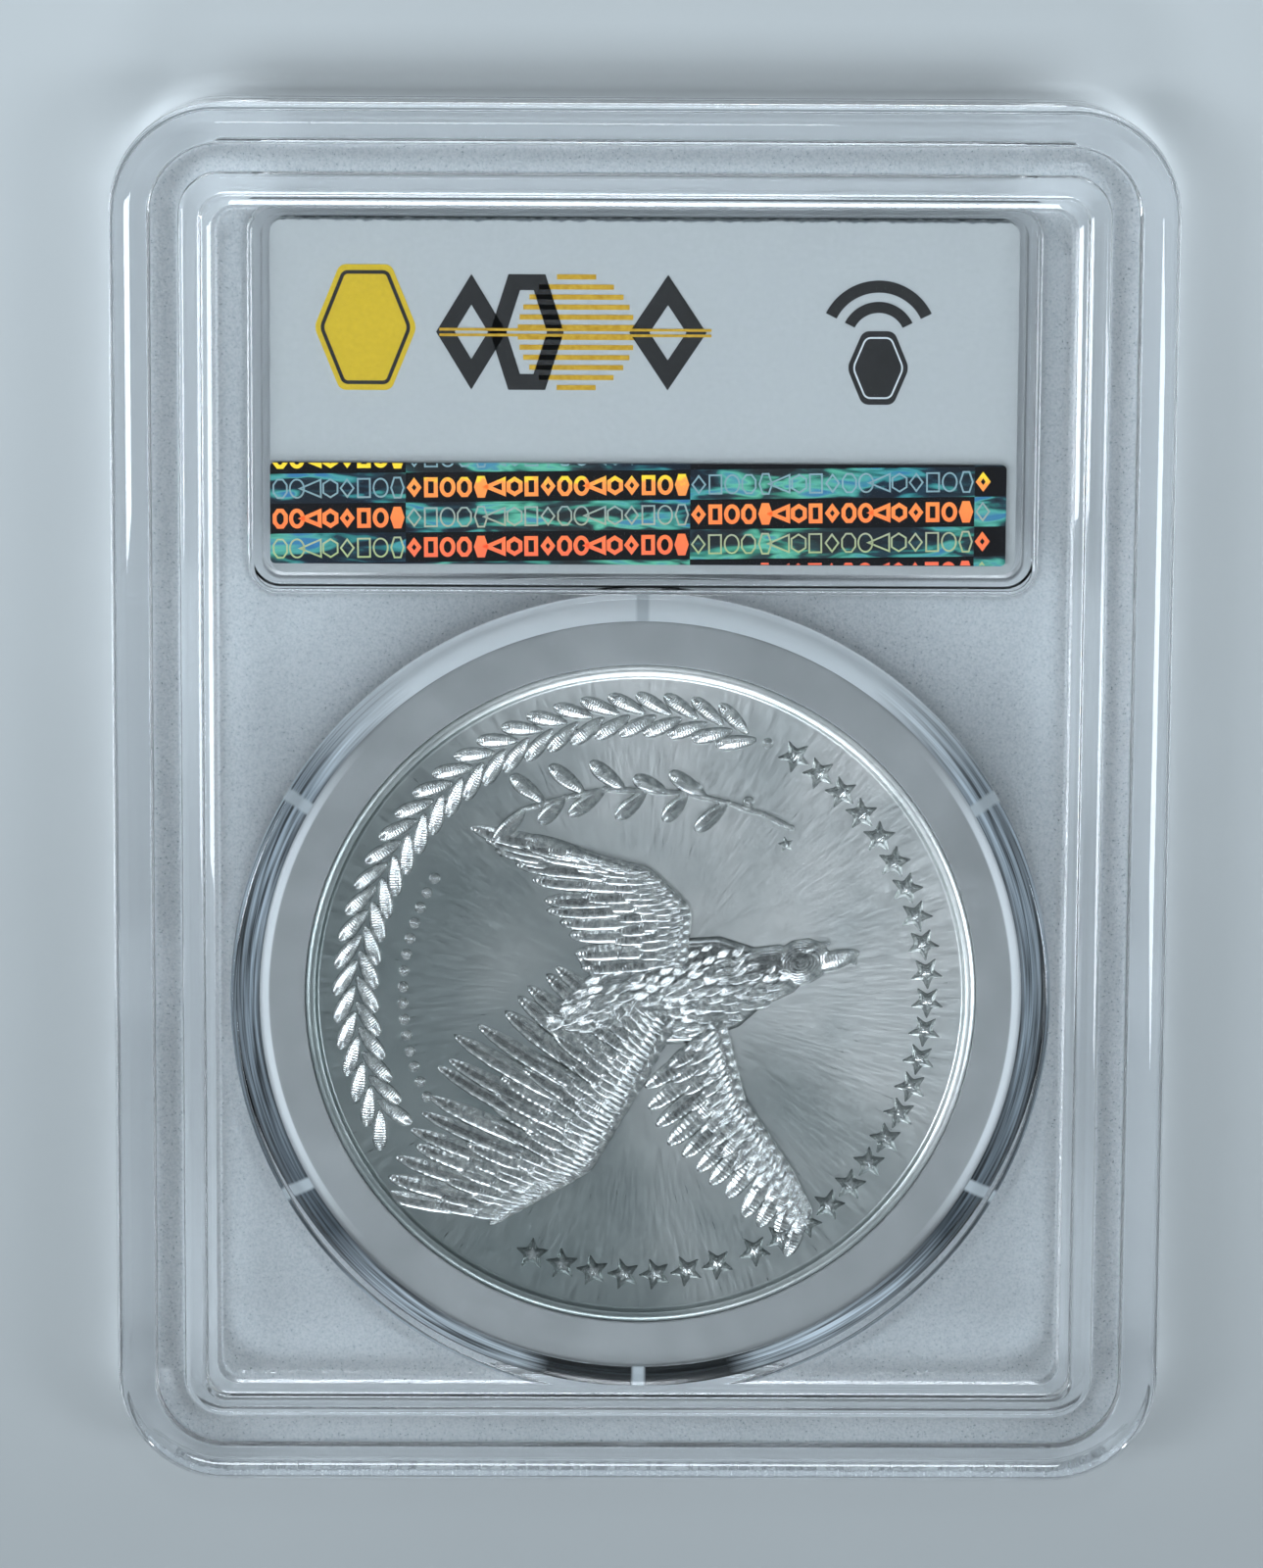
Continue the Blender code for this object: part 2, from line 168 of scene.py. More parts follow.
def joined(pieces, name):
    clearSelection()
    for piece in pieces:
        piece.select_set(True)
    bpy.context.view_layer.objects.active = pieces[0]
    bpy.ops.object.join()
    return settle(named(name))


def onRoot(piece, slot, *replaced):
    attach(piece, "root")
    if replaced:
        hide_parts(*replaced)


# where things are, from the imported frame

rearLow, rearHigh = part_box("rear_shell")
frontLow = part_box("front_shell")[0]
coinLow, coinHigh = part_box("coin")
ringLow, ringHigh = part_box("coin_ring")
labelLow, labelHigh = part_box("rear_label")
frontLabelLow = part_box("front_label")[0]
foilLow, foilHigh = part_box("security_foil")
holderWidth = rearHigh.x - rearLow.x
holderHeight = rearHigh.y - rearLow.y
seamZ = (rearHigh.z + frontLow.z) / 2
coinCentre = (coinLow + coinHigh) / 2
coinRadius = (coinHigh.x - coinLow.x) / 2
labelCentre = (labelLow + labelHigh) / 2


# materials

def letLampsThrough(add, shader, straight, slanted):
    # lamps' light goes straight through the level faces, and loses most where it meets an upright wall
    here = add("NewGeometry")
    split = add("SeparateXYZ", None, {0: here.outputs["Normal"]})
    level = add("Math ABSOLUTE", None, {0: split.outputs[2]})
    share = add("MapRange", {1: 0.2, 2: 0.9, 3: slanted, 4: straight}, {0: level})
    clear = add("BsdfTransparent", None, {"Color": share})
    path = add("LightPath")
    mix = add("MixShader", None, {0: path.outputs["Is Shadow Ray"], 1: shader, 2: clear})
    link(mix, shader.id_data.nodes["Material Output"], "Surface")


def clearPlastic():
    # moulded polystyrene off a polished tool: water-clear with a faint cold tint and hardly any ripple
    material, shader, place, add = newMaterial("polystyreneMouldedClear", {
        "Base Color": "#FCFDFE", "IOR": 1.59, "Transmission Weight": 1.0})
    ripple = add("TexNoise", {"Scale": 1 / (7 * mm), "Detail": 1.5}, {"Vector": place})
    bump = add("Bump", {"Strength": 0.03, "Distance": 0.02 * mm}, {"Height": ripple})
    scuff = add("TexNoise", {"Scale": 1 / (2.5 * mm), "Detail": 6, "Roughness": 0.7}, {"Vector": place})
    rough = add("MapRange", {1: 0.45, 2: 0.75, 3: 0.012, 4: 0.05}, {0: scuff})
    wire(shader, None, rough, bump)
    letLampsThrough(add, shader, 0.97, 0.3)
    return material


def frostedPlastic():
    # the same plastic off a spark-eroded tool: a matte frost of about 0.2 mm grain that sparkles at a slant
    material, shader, place, add = newMaterial("polystyreneSparkTextured", {
        "IOR": 1.59, "Transmission Weight": 1.0})
    grain = add("TexNoise", {"Scale": 1 / (0.16 * mm), "Detail": 3, "Roughness": 0.6}, {"Vector": place})
    pits = add("TexVoronoi", {"Scale": 1 / (0.3 * mm)}, {"Vector": place})
    height = add("Math MULTIPLY_ADD", {1: 0.5}, {0: pits, 2: grain})
    shade = add("ValToRGB", {"stops": [(0.4, "#D9DEE1"), (0.62, "#FCFDFE")]}, {"Fac": grain})
    bump = add("Bump", {"Strength": 1.0, "Distance": 0.045 * mm}, {"Height": height})
    rough = add("MapRange", {1: 0.3, 2: 0.7, 3: 0.26, 4: 0.44}, {0: grain})
    wire(shader, shade, rough, bump)
    letLampsThrough(add, shader, 0.9, 0.4)
    return material


def cornerPlastic():
    # the well's slanting corner carries a painted reflection of the dim room in its colour: near black in
    # front, streaked at the sides, pale behind
    material, shader, place, add = newMaterial("polystyreneWellCornerPaintedReflection", {"IOR": 1.5})
    about, angle, out = polarPlace(add, place, coinCentre)
    turned = add("Math ADD", {1: math.pi / 2}, {0: angle})
    wrapped = add("Math PINGPONG", {1: math.pi}, {0: turned})
    share = add("Math DIVIDE", {1: math.pi}, {0: wrapped})
    shade = add("ValToRGB", {"stops": [
        (0.05, "#1E2224"), (0.075, "#1E2224"), (0.10, "#A4AEB4"), (0.22, "#A0AAB1"), (0.29, "#464F56"),
        (0.5, "#848F97"), (0.68, "#8F9AA2"), (0.8, "#E2EAEE")]}, {"Fac": share})
    # painted reflected streaks, long round the coin and thin across
    way = add("VectorMath NORMALIZE", None, {0: about})
    around = add("VectorMath SCALE", {"Scale": 3.0}, {0: way})
    across = add("Math MULTIPLY", {1: 1 / (0.16 * mm)}, {0: out})
    height = add("CombineXYZ", None, {2: across})
    lines = add("VectorMath ADD", None, {0: around, 1: height})
    streak = add("TexNoise", {"Scale": 1.0, "Detail": 3}, {"Vector": lines})
    bright = add("MapRange", {1: 0.36, 2: 0.66, 3: 0.2, 4: 2.1}, {0: streak})
    # painted shade: both edges of the band stay dark
    start, stop = (shell["wellRadius"] - shell["wellFillet"]) * mm, shell["wellRadius"] * mm
    far = add("MapRange", {1: start, 2: stop, 3: -1.0, 4: 1.0}, {0: out})
    edge = add("Math ABSOLUTE", None, {0: far})
    dim = add("MapRange", {1: 0.55, 2: 0.95, 3: 1.0, 4: 0.35}, {0: edge})
    scale = add("Math MULTIPLY", None, {0: bright, 1: dim})
    # painted reflection: at the back the band is pale right across
    back = add("MapRange", {1: 0.66, 2: 0.8}, {0: share})
    even = add("Mix", {"data_type": "FLOAT", 3: 1.0}, {0: back, 2: scale})
    tone = add("VectorMath SCALE", None, {0: shade, "Scale": even})
    # the six lugs are painted in as pale marks, as if seen through the plastic
    turns = add("Math MULTIPLY", {1: ring["lugs"] / 2}, {0: angle})
    wave = add("Math COSINE", None, {0: turns})
    size = add("Math ABSOLUTE", None, {0: wave})
    mark = add("MapRange", {1: 0.06, 2: 0.035}, {0: size})
    tone = add("Mix", {"data_type": "RGBA", 7: "#BFC9CE"}, {0: mark, 6: tone})
    rough = add("MapRange", {3: 0.12, 4: 0.3}, {0: streak})
    wire(shader, tone.outputs[2], rough)
    letLampsThrough(add, shader, 0.97, 0.3)
    return material


def weldPlastic():
    # polystyrene melted and chilled by the ultrasonic weld: lumpy, full of tiny bubbles, so it glints white
    material, shader, place, add = newMaterial("polystyreneWeldFlash", {
        "Base Color": "#F2F7FA", "IOR": 1.5, "Transmission Weight": 0.75})
    bubbles = add("TexVoronoi", {"Scale": 1 / (0.22 * mm)}, {"Vector": place})
    bump = add("Bump", {"Strength": 1.0, "Distance": 0.06 * mm}, {"Height": bubbles})
    rough = add("MapRange", {1: 0.0, 2: 0.6, 3: 0.35, 4: 0.08}, {0: bubbles})
    wire(shader, None, rough, bump)
    letLampsThrough(add, shader, 0.85, 0.5)
    return material


def ringPlastic(name, colour, through, shoulder=None):
    # soft clear vinyl, moulded: a milky grey that light soaks into, with a satin skin
    material, shader, place, add = newMaterial(name, {
        "IOR": 1.5, "Transmission Weight": through, "Subsurface Weight": 0.3,
        "Subsurface Scale": 1.2 * mm, "Subsurface Radius": (1.0, 1.0, 1.0)})
    cloud = add("TexNoise", {"Scale": 1 / (5 * mm), "Detail": 4}, {"Vector": place})
    shade = add("ValToRGB", {"stops": [(0.3, colour[0]), (0.7, colour[1])]}, {"Fac": cloud})
    skin = add("TexNoise", {"Scale": 1 / (0.25 * mm), "Detail": 3}, {"Vector": place})
    rough = add("MapRange", {3: 0.06, 4: 0.14}, {0: skin})
    bump = add("Bump", {"Strength": 0.2, "Distance": 0.01 * mm}, {"Height": skin})
    if shoulder:
        # painted highlight: its outer shoulder is painted white at the sides, where the two lamps stand
        _, angle, out = polarPlace(add, place, coinCentre)
        across = add("Math COSINE", None, {0: angle})
        size = add("Math ABSOLUTE", None, {0: across})
        smooth = "SMOOTHSTEP"
        start, stop = (shoulder - 0.08) * mm, (shoulder + 0.08) * mm
        side = add("MapRange", {"interpolation_type": smooth, 1: 0.72, 2: 0.97}, {0: size})
        strip = add("MapRange", {"interpolation_type": smooth, 1: start, 2: stop}, {0: out})
        share = add("Math MULTIPLY", None, {0: side, 1: strip})
        shade = add("Mix", {"data_type": "RGBA", 7: "#EFF5F8"}, {0: share, 6: shade}).outputs[2]
    wire(shader, shade, rough, bump)
    return material


def polarPlace(add, place, centre):
    # angle and distance about a centre, for marks that run outwards
    about = add("Mapping", {"Location": (-centre.x, -centre.y, 0), "Scale": (1, 1, 0)}, {"Vector": place})
    split = add("SeparateXYZ", None, {0: about})
    angle = add("Math ARCTAN2", None, {0: split.outputs[1], 1: split})
    out = add("VectorMath LENGTH", None, {0: about})
    return about, angle, out.outputs["Value"]


def struckSilver(name, roughLow, roughHigh, flowDepth):
    # silver as it left the die: bright, with flow lines running outwards that spread the light like satin
    material, shader, place, add = newMaterial(name, {"Metallic": 1.0})
    about, angle, out = polarPlace(add, place, coinCentre)
    around = add("Math MULTIPLY", {1: 90.0}, {0: angle})
    along = add("Math MULTIPLY", {1: 1 / (2.2 * mm)}, {0: out})
    lines = add("CombineXYZ", None, {0: around, 1: along})
    flow = add("TexNoise", {"Scale": 1.0, "Detail": 5, "Roughness": 0.75}, {"Vector": lines})
    cloud = add("TexNoise", {"Scale": 1 / (6 * mm), "Detail": 4}, {"Vector": place})
    shade = add("ValToRGB", {"stops": [(0.35, "#E0E5E4"), (0.65, "#F3F5F3")]}, {"Fac": cloud})
    # painted light and shade in the field's colour: lustre painted in fans about the middle, and the field
    # painted dimmer to the left and the front
    wheel = add("Math MULTIPLY_ADD", {1: 4.0, 2: 1.1}, {0: angle})
    fan = add("Math SINE", None, {0: wheel})
    lit = (0.75 / coinRadius, 0.66 / coinRadius, 0.0)
    lean = add("VectorMath DOT_PRODUCT", {1: lit}, {0: about}).outputs["Value"]
    mixed = add("Math MULTIPLY_ADD", {1: 0.16}, {0: fan, 2: lean})
    patchy = add("TexNoise", {"Scale": 1 / (11 * mm), "Detail": 2}, {"Vector": place})
    broken = add("Math MULTIPLY_ADD", {1: 0.9}, {0: patchy, 2: mixed})
    reflectionAndShadeMask = add("MapRange", {"interpolation_type": "SMOOTHSTEP", 1: 1.25, 2: -0.15}, {0: broken})
    fieldWithPaintedShade = add("Mix", {"data_type": "RGBA", "blend_type": "MULTIPLY", 7: "#A2A9A9"}, {0: reflectionAndShadeMask, 6: shade})
    rough = add("MapRange", {1: 0.3, 2: 0.7, 3: roughLow, 4: roughHigh}, {0: flow})
    bump = add("Bump", {"Strength": 0.6, "Distance": flowDepth}, {"Height": flow})
    wire(shader, fieldWithPaintedShade.outputs[2], rough, bump)
    return material


def reliefSilver():
    # the raised design: die-polished silver, brighter than the field, with fine hatching across each feather
    material, shader, place, add = newMaterial("silverStruckRelief", {"Metallic": 1.0})
    along = add("SeparateXYZ", None, {0: place.node.outputs["UV"]})
    hatch = add("Math MULTIPLY", {1: 150.0}, {0: along.outputs[1]})
    wave = add("Math SINE", None, {0: hatch})
    grain = add("TexNoise", {"Scale": 1 / (0.3 * mm), "Detail": 4}, {"Vector": place})
    height = add("Math MULTIPLY_ADD", {1: 0.35}, {0: wave, 2: grain})
    bump = add("Bump", {"Strength": 0.5, "Distance": 0.02 * mm}, {"Height": height})
    shade = add("ValToRGB", {"stops": [(0.3, "#A9AEAE"), (0.7, "#CDD0CD")]}, {"Fac": grain})
    rough = add("MapRange", {3: 0.16, 4: 0.3}, {0: grain})
    wire(shader, shade, rough, bump)
    return material


def cardStock(name, light, dark):
    # coated card, offset printed: nearly white, matte, with a faint fibre tooth, and along its top cut edge a
    # rough dark line that is partly the cut edge and partly a painted shadow
    material, shader, place, add = newMaterial(name, {"IOR": 1.45})
    fibre = add("TexNoise", {"Scale": 1 / (0.35 * mm), "Detail": 5, "Roughness": 0.65}, {"Vector": place})
    shade = add("ValToRGB", {"stops": [(0.3, dark), (0.7, light)]}, {"Fac": fibre})
    split = add("SeparateXYZ", None, {0: place})
    # painted shadow: a ragged dark line along the card's top edge, partly the dark cut edge itself
    ragged = add("TexNoise", {"Scale": 1 / (0.6 * mm), "Detail": 5}, {"Vector": place})
    reach = add("Math MULTIPLY_ADD", {1: 0.35 * mm}, {0: ragged, 2: split.outputs[1]})
    edge = add("MapRange", {1: labelHigh.y + 0.04 * mm, 2: labelHigh.y + 0.14 * mm}, {0: reach})
    colour = add("Mix", {"data_type": "RGBA", 7: "#5F676B"}, {0: edge, 6: shade})
    rough = add("MapRange", {3: 0.45, 4: 0.6}, {0: fibre})
    bump = add("Bump", {"Strength": 0.25, "Distance": 0.01 * mm}, {"Height": fibre})
    wire(shader, colour.outputs[2], rough, bump)
    return material


def printingInk(name, colours, roughness, metallic=0.0):
    # offset ink on card: an even film that takes a little of the paper's tooth
    material, shader, place, add = newMaterial(name, {"Metallic": metallic})
    tooth = add("TexNoise", {"Scale": 1 / (0.3 * mm), "Detail": 5}, {"Vector": place})
    shade = add("ValToRGB", {"stops": [(0.3, colours[0]), (0.7, colours[1])]}, {"Fac": tooth})
    rough = add("MapRange", {3: roughness * 0.85, 4: roughness * 1.15}, {0: tooth})
    wire(shader, shade, rough)
    return material


def thinSheet(name, colours, roughness, metallic, grain):
    # film, foil or lacquer: smooth, with a slight cloud in its colour and shine
    material, shader, place, add = newMaterial(name, {"Metallic": metallic})
    cloud = add("TexNoise", {"Scale": 1 / grain, "Detail": 4}, {"Vector": place})
    shade = add("ValToRGB", {"stops": [(0.3, colours[0]), (0.7, colours[1])]}, {"Fac": cloud})
    rough = add("MapRange", {3: roughness * 0.8, 4: roughness * 1.2}, {0: cloud})
    bump = add("Bump", {"Strength": 0.15, "Distance": 0.01 * mm}, {"Height": cloud})
    wire(shader, shade, rough, bump)
    return material


foilBands = {
    "rowPitch": 1.8 * mm,
    "firstRow": 14.7 * mm,        # a row's lower edge, in Y
    "blockWidth": 17.0 * mm,
    "firstBlock": -14.2 * mm,     # a block's left edge, in X
    "slant": 0.0145,              # rows climb slightly to the right
}


def rainbowFoil():
    # embossed diffraction foil, its diffraction painted into its colour as a painted reflection: near black
    # where it throws nothing back, with slanting green and blue streaks
    material, shader, place, add = newMaterial("foilDiffractionEmbossedPaintedReflection", {"Metallic": 0.6})
    split = add("SeparateXYZ", None, {0: place})
    climb = add("Math MULTIPLY", {1: -foilBands["slant"]}, {0: split})
    level = add("Math ADD", None, {0: split.outputs[1], 1: climb})
    row = add("Math SUBTRACT", {1: foilBands["firstRow"]}, {0: level})
    rowCount = add("Math DIVIDE", {1: foilBands["rowPitch"]}, {0: row})
    rowIndex = add("Math FLOOR", None, {0: rowCount})
    column = add("Math SUBTRACT", {1: foilBands["firstBlock"]}, {0: split})
    columnCount = add("Math DIVIDE", {1: foilBands["blockWidth"]}, {0: column})
    columnIndex = add("Math FLOOR", None, {0: columnCount})
    both = add("Math ADD", None, {0: rowIndex, 1: columnIndex})
    odd = add("Math PINGPONG", {1: 1.0}, {0: both})
    # painted reflected streaks: stretched noise on one slant, and more on a second slant across it
    slant, slantBack = (0, 0, math.radians(-38)), (0, 0, math.radians(52))
    turned = add("Mapping", {"Rotation": slant, "Scale": (1, 4.2, 1)}, {"Vector": place})
    streak = add("TexNoise", {"Scale": 1 / (4.2 * mm), "Detail": 2.5, "Distortion": 0.6}, {"Vector": turned})
    turnedBack = add("Mapping", {"Rotation": slantBack, "Scale": (1, 3.5, 1)}, {"Vector": place})
    cross = add("TexNoise", {"Scale": 1 / (3.4 * mm), "Detail": 2, "Distortion": 0.4}, {"Vector": turnedBack})
    bright = add("Math MAXIMUM", None, {0: streak, 1: cross})
    streakColour = add("ValToRGB", {"stops": [
        (0.48, "#33393B"), (0.55, "#3F5A5C"), (0.585, "#4FA98F"), (0.64, "#7FE0BE"),
        (0.70, "#5FA7C4")]}, {"Fac": bright})
    # painted reflection: the hue drifts from blue at the left to green at the right
    drift = add("TexNoise", {"Scale": 1 / (9 * mm), "Detail": 1}, {"Vector": place})
    tint = add("ValToRGB", {"stops": [(0.35, "#9FC6FF"), (0.6, "#FFFFFF")]}, {"Fac": drift})
    tinted = add("Mix", {"data_type": "RGBA", "blend_type": "MULTIPLY", 0: 0.8}, {6: streakColour, 7: tint})
    colour = add("Mix", {"data_type": "RGBA", 6: "#17161A"}, {0: odd, 7: tinted.outputs[2]})
    fine = add("TexNoise", {"Scale": 1 / (0.2 * mm), "Detail": 2}, {"Vector": place})
    rough = add("MapRange", {3: 0.3, 4: 0.42}, {0: fine})
    wire(shader, colour.outputs[2], rough)
    return material


plastic = clearPlastic()
frost = frostedPlastic()
print("materials: plastics ready")


# the two shells

shell = {
    # all of these in mm
    "corner": 6.6,
    "cornerSteps": 20,
    "keepCorner": 5.2,              # farther in than this, a corner keeps its radius
    "plate": 1.3,
    "hollowIn": 6.2,
    "hollowWall": 1.2,
    "hollowCorner": 1.4,
    "keptLevels": (1.0, 7.0),
    "wellRadius": 24.5,
    "wellFillet": 1.45,             # the well's slanting corner, which carries a painted dark band
    "wellBulge": 0.35,
    "cornerSlant": (0.08, 0.995),   # how level that corner's faces are
    "cornerLevels": (4.3, 5.76),
    "pocketSize": (45.6, 21.8, 1.2),
    "windowSize": (47.2, 23.4, 1.8),
    "windowRound": 0.4,
    "coinWindow": 24.8,
    "seamHalf": 0.02,
    "cutPast": 1.0,                 # how far the cutters reach past the seam
}
ring = {
    "bore": 20.33,
    "outer": 23.2,
    "steps": 192,
    "shoulder": [(22.8, 0.0), (22.95, 0.03), (23.1, 0.12), (23.2, 0.35)],   # radius and drop
    "lugs": 6,
    "lugLength": 0.9,
    "lugWidth": 0.7,
    "lugHeight": 1.9,
}
weldChannel = {"inset": 0.22, "width": 0.78, "height": 0.84, "sink": 0.5}
wellCornerPaintedReflection = cornerPlastic()
coinY = coinCentre.y / mm
pocketY = labelCentre.y / mm

# distance in from the edge, level, rounding of that corner
rearProfile = [(0.0, 6.95, 0.6), (0.35, 7.48, 0.35), (1.1, 7.82, 0.4), (1.6, 7.9, 0.3), (2.35, 7.9, 0.1),
               (2.5, 7.1, 0.15), (4.1, 7.1, 0.12), (4.22, 7.6, 0.08), (4.45, 7.69, 0.06), (5.2, 7.7, 0.06),
               (5.42, 7.62, 0.06), (5.52, 7.1, 0.1), (5.75, 7.1, 0.08), (6.1, 6.97, 0.06), (6.3, 6.5, 0.2),
               (6.85, 6.5, 0.0)]
frontProfile = [(0.0, 0.7, 1.0), (2.42, 0.7, 0.12), (2.55, 0.0, 0.25), (3.45, 0.0, 0.25), (3.58, 0.7, 0.12),
                (5.6, 0.7, 0.2), (6.5, 1.6, 0.3), (6.85, 1.6, 0.0)]


def softened(profile, steps=4):
    # rounds each corner of a section by a small curve between its two sides
    points = []
    for k, (x, y, radius) in enumerate(profile):
        here = Vector((x, y))
        if k == len(profile) - 1:
            points.append(here)
            continue
        before = Vector(profile[k - 1][:2]) if k else Vector((0.0, seamZ / mm))
        after = Vector(profile[k + 1][:2])
        reach = min(radius, 0.48 * (here - before).length, 0.48 * (after - here).length)
        start = here + (before - here).normalized() * reach
        end = here + (after - here).normalized() * reach
        count = steps * 2 if radius >= 0.8 else steps
        for step in range(count + 1):
            t = step / count
            points.append(start * (1 - t) ** 2 + here * 2 * t * (1 - t) + end * t ** 2)
    return points


def outlinePlate(width, height, corner, steps, place):
    # a flat rounded rectangle, left in edit mode with its face selected
    clearSelection()
    bpy.ops.mesh.primitive_plane_add(size=1.0, location=[c * mm for c in place])
    piece = bpy.context.object
    bpy.ops.object.mode_set(mode="EDIT")
    bpy.ops.transform.resize(value=(width * mm, height * mm, 1.0))
    bpy.ops.mesh.bevel(offset=corner * mm, segments=steps, affect="VERTICES", clamp_overlap=False)
    bpy.ops.mesh.select_all(action="SELECT")
    return piece


def raiseCap(points, outward, width=0.0, height=0.0):
    # from the outline up, then in along the section, line by line
    bpy.ops.mesh.extrude_region_move(
        TRANSFORM_OT_translate={"value": (0, 0, (points[0].y * mm - bpy.context.object.location.z))})
    for last, here in zip(points, points[1:]):
        thickness = max(here.x - last.x, 0.0)
        if here.x < shell["keepCorner"]:
            bpy.ops.mesh.inset(thickness=thickness * mm, depth=(here.y - last.y) * outward * mm,
                               use_even_offset=True)
            continue
        # past here the corners keep their radius
        bpy.ops.mesh.extrude_region_move(TRANSFORM_OT_translate={"value": (0, 0, (here.y - last.y) * mm)})
        shrink = [(size - 2 * here.x) / (size - 2 * last.x) for size in (width, height)]
        bpy.ops.transform.resize(value=(*shrink, 1.0), center_override=(0, 0, 0))
    bpy.ops.object.mode_set(mode="OBJECT")


def block(outline, low, high, roundTop=0.0, outward=1, bulge=1.0):
    # an upright block with a soft outer edge. outline is (width, height, corner, y), or (radius, y)
    start, stop = (low, high) if outward > 0 else (high, low)
    if len(outline) == 2:
        clearSelection()
        bpy.ops.mesh.primitive_circle_add(vertices=180, radius=outline[0] * mm, fill_type="NGON",
                                          location=(0, outline[1] * mm, start * mm))
        piece = bpy.context.object
        bpy.ops.object.mode_set(mode="EDIT")
        bpy.ops.mesh.select_all(action="SELECT")
    else:
        width, height, corner, y = outline
        piece = outlinePlate(width, height, corner, 8, (0, y, start))
    if outward < 0:
        bpy.ops.mesh.flip_normals()
    points = [Vector((0, stop))]
    if roundTop:
        # bulge 1 is a quarter round, and 0 a plain chamfer
        points = []
        for t in (0.0, 0.2, 0.4, 0.6, 0.8, 1.0):
            across = bulge * (1 - math.cos(t * math.pi / 2)) + (1 - bulge) * t
            down = bulge * (1 - math.sin(t * math.pi / 2)) + (1 - bulge) * (1 - t)
            points.append(Vector((roundTop * across, stop - outward * roundTop * down)))
    raiseCap(points, outward)
    tidyMesh(piece)
    return settle(piece)


def distanceIn(point):
    # how far a point is in from the holder's outline
    corner = shell["corner"] * mm
    dx = abs(point.x) - (holderWidth / 2 - corner)
    dy = abs(point.y) - (holderHeight / 2 - corner)
    outside = math.hypot(max(dx, 0), max(dy, 0)) + min(max(dx, dy), 0)
    return (corner - outside) / mm


def rectangleBand(band, level, rise):
    # a band that runs round inside the holder's outline
    inset = band["inset"]
    width, height = (size / mm - 2 * inset for size in (holderWidth, holderHeight))
    piece = outlinePlate(width, height, shell["corner"] - inset, 12, (0, 0, level))
    bpy.ops.mesh.inset(thickness=band["width"] * mm, depth=0, use_even_offset=True)
    bpy.ops.mesh.delete(type="FACE")
    bpy.ops.mesh.select_all(action="SELECT")
    bpy.ops.mesh.extrude_region_move(TRANSFORM_OT_translate={"value": (0, 0, rise * band["height"] * mm)})
    bpy.ops.object.mode_set(mode="OBJECT")
    return piece


def makeShell(name, profile, outward, field, window, depths):
    mate = seamZ / mm + outward * shell["seamHalf"]
    width, height = holderWidth / mm, holderHeight / mm
    piece = outlinePlate(width, height, shell["corner"], shell["cornerSteps"], (0, 0, mate))
    if outward < 0:
        bpy.ops.mesh.flip_normals()
    raiseCap(softened(profile), outward, width, height)
    named(name)
    tidyMesh(piece)
    settle(piece)
    wellRadius, fillet = shell["wellRadius"], shell["wellFillet"] if outward > 0 else 0.0
    windowRoot = field - outward * shell["windowRound"]
    for outline in ((*shell["windowSize"], pocketY), (shell["coinWindow"], coinY)):
        raised = block(outline, *sorted((windowRoot, window)), shell["windowRound"], outward)
        combine(piece, raised, "UNION")
    past = mate - outward * shell["cutPast"]
    for outline, depth, rounding in (((*shell["pocketSize"], pocketY), depths[0], 0.0),
                                     ((wellRadius, coinY), depths[1], fillet)):
        cutter = block(outline, *sorted((past, depth)), rounding, 1, shell["wellBulge"])
        combine(piece, cutter, "DIFFERENCE")
    hollowIn, wall = shell["hollowIn"], shell["hollowWall"]
    ceiling = field - outward * shell["plate"]
    hollow = block((width - 2 * hollowIn, height - 2 * hollowIn, shell["hollowCorner"], 0),
                   *sorted((past, ceiling)))
    pocketWidth, pocketHeight, corner = shell["pocketSize"]
    for outline in ((pocketWidth + 2 * wall, pocketHeight + 2 * wall, corner + wall, pocketY),
                    (wellRadius + wall, coinY)):
        combine(hollow, block(outline, *shell["keptLevels"]), "DIFFERENCE")
    combine(piece, hollow, "DIFFERENCE")
    channel = rectangleBand(weldChannel, mate - outward * weldChannel["sink"], outward)
    tidyMesh(channel)
    combine(piece, settle(channel), "DIFFERENCE")
    tidyMesh(piece, 32, weighted=True)
    return paint(piece, plastic, frost, wellCornerPaintedReflection)


def isCorner(face):
    # the slant between the well's wall and its roof
    half = shell["wellFillet"] / 2
    off = abs(math.hypot(face.center.x, face.center.y - coinCentre.y) / mm - shell["wellRadius"] + half)
    steepest, flattest = shell["cornerSlant"]
    lowest, highest = shell["cornerLevels"]
    onSlant = steepest < abs(face.normal.z) < flattest and lowest < face.center.z / mm < highest
    return onSlant and off < half + 0.03


def frostFaces(piece, zones):
    for face in piece.data.polygons:
        corners = [piece.data.vertices[v].co for v in face.vertices]
        levels = [c.z / mm for c in corners]
        inward = [distanceIn(c) for c in corners]
        isFrosted = any(min(levels) > low and max(levels) < high and min(inward) > near and max(inward) < far
                        for low, high, near, far in zones)
        face.material_index = 2 if isCorner(face) else int(isFrosted)
    print(piece.name, "faces", len(piece.data.polygons))


# where the faces are frosted, in mm: lowest, highest, nearest to the edge, farthest in
rearFrost = [(6.45, 6.62, 6.0, 99), (6.4, 7.0, 6.05, 6.95), (7.05, 7.3, 2.4, 4.3)]
frontFrost = [(1.45, 1.65, 6.0, 99)]

rearShell = makeShell("rearShellClear", rearProfile, 1, 6.5, 7.0, (5.5, 5.74))
frostFaces(rearShell, rearFrost)
onRoot(rearShell, "clear_shell", "rear_shell")

frontShell = makeShell("frontShellClear", frontProfile, -1, 1.6, 1.1, (2.4, 2.16))
frostFaces(frontShell, frontFrost)
onRoot(frontShell, "clear_shell", "front_shell")
print("shells made")


# the weld

weld = {"inset": 0.28, "width": 0.6, "height": 0.56, "voxel": 0.13, "lump": 0.32, "lumpHeight": 0.16}


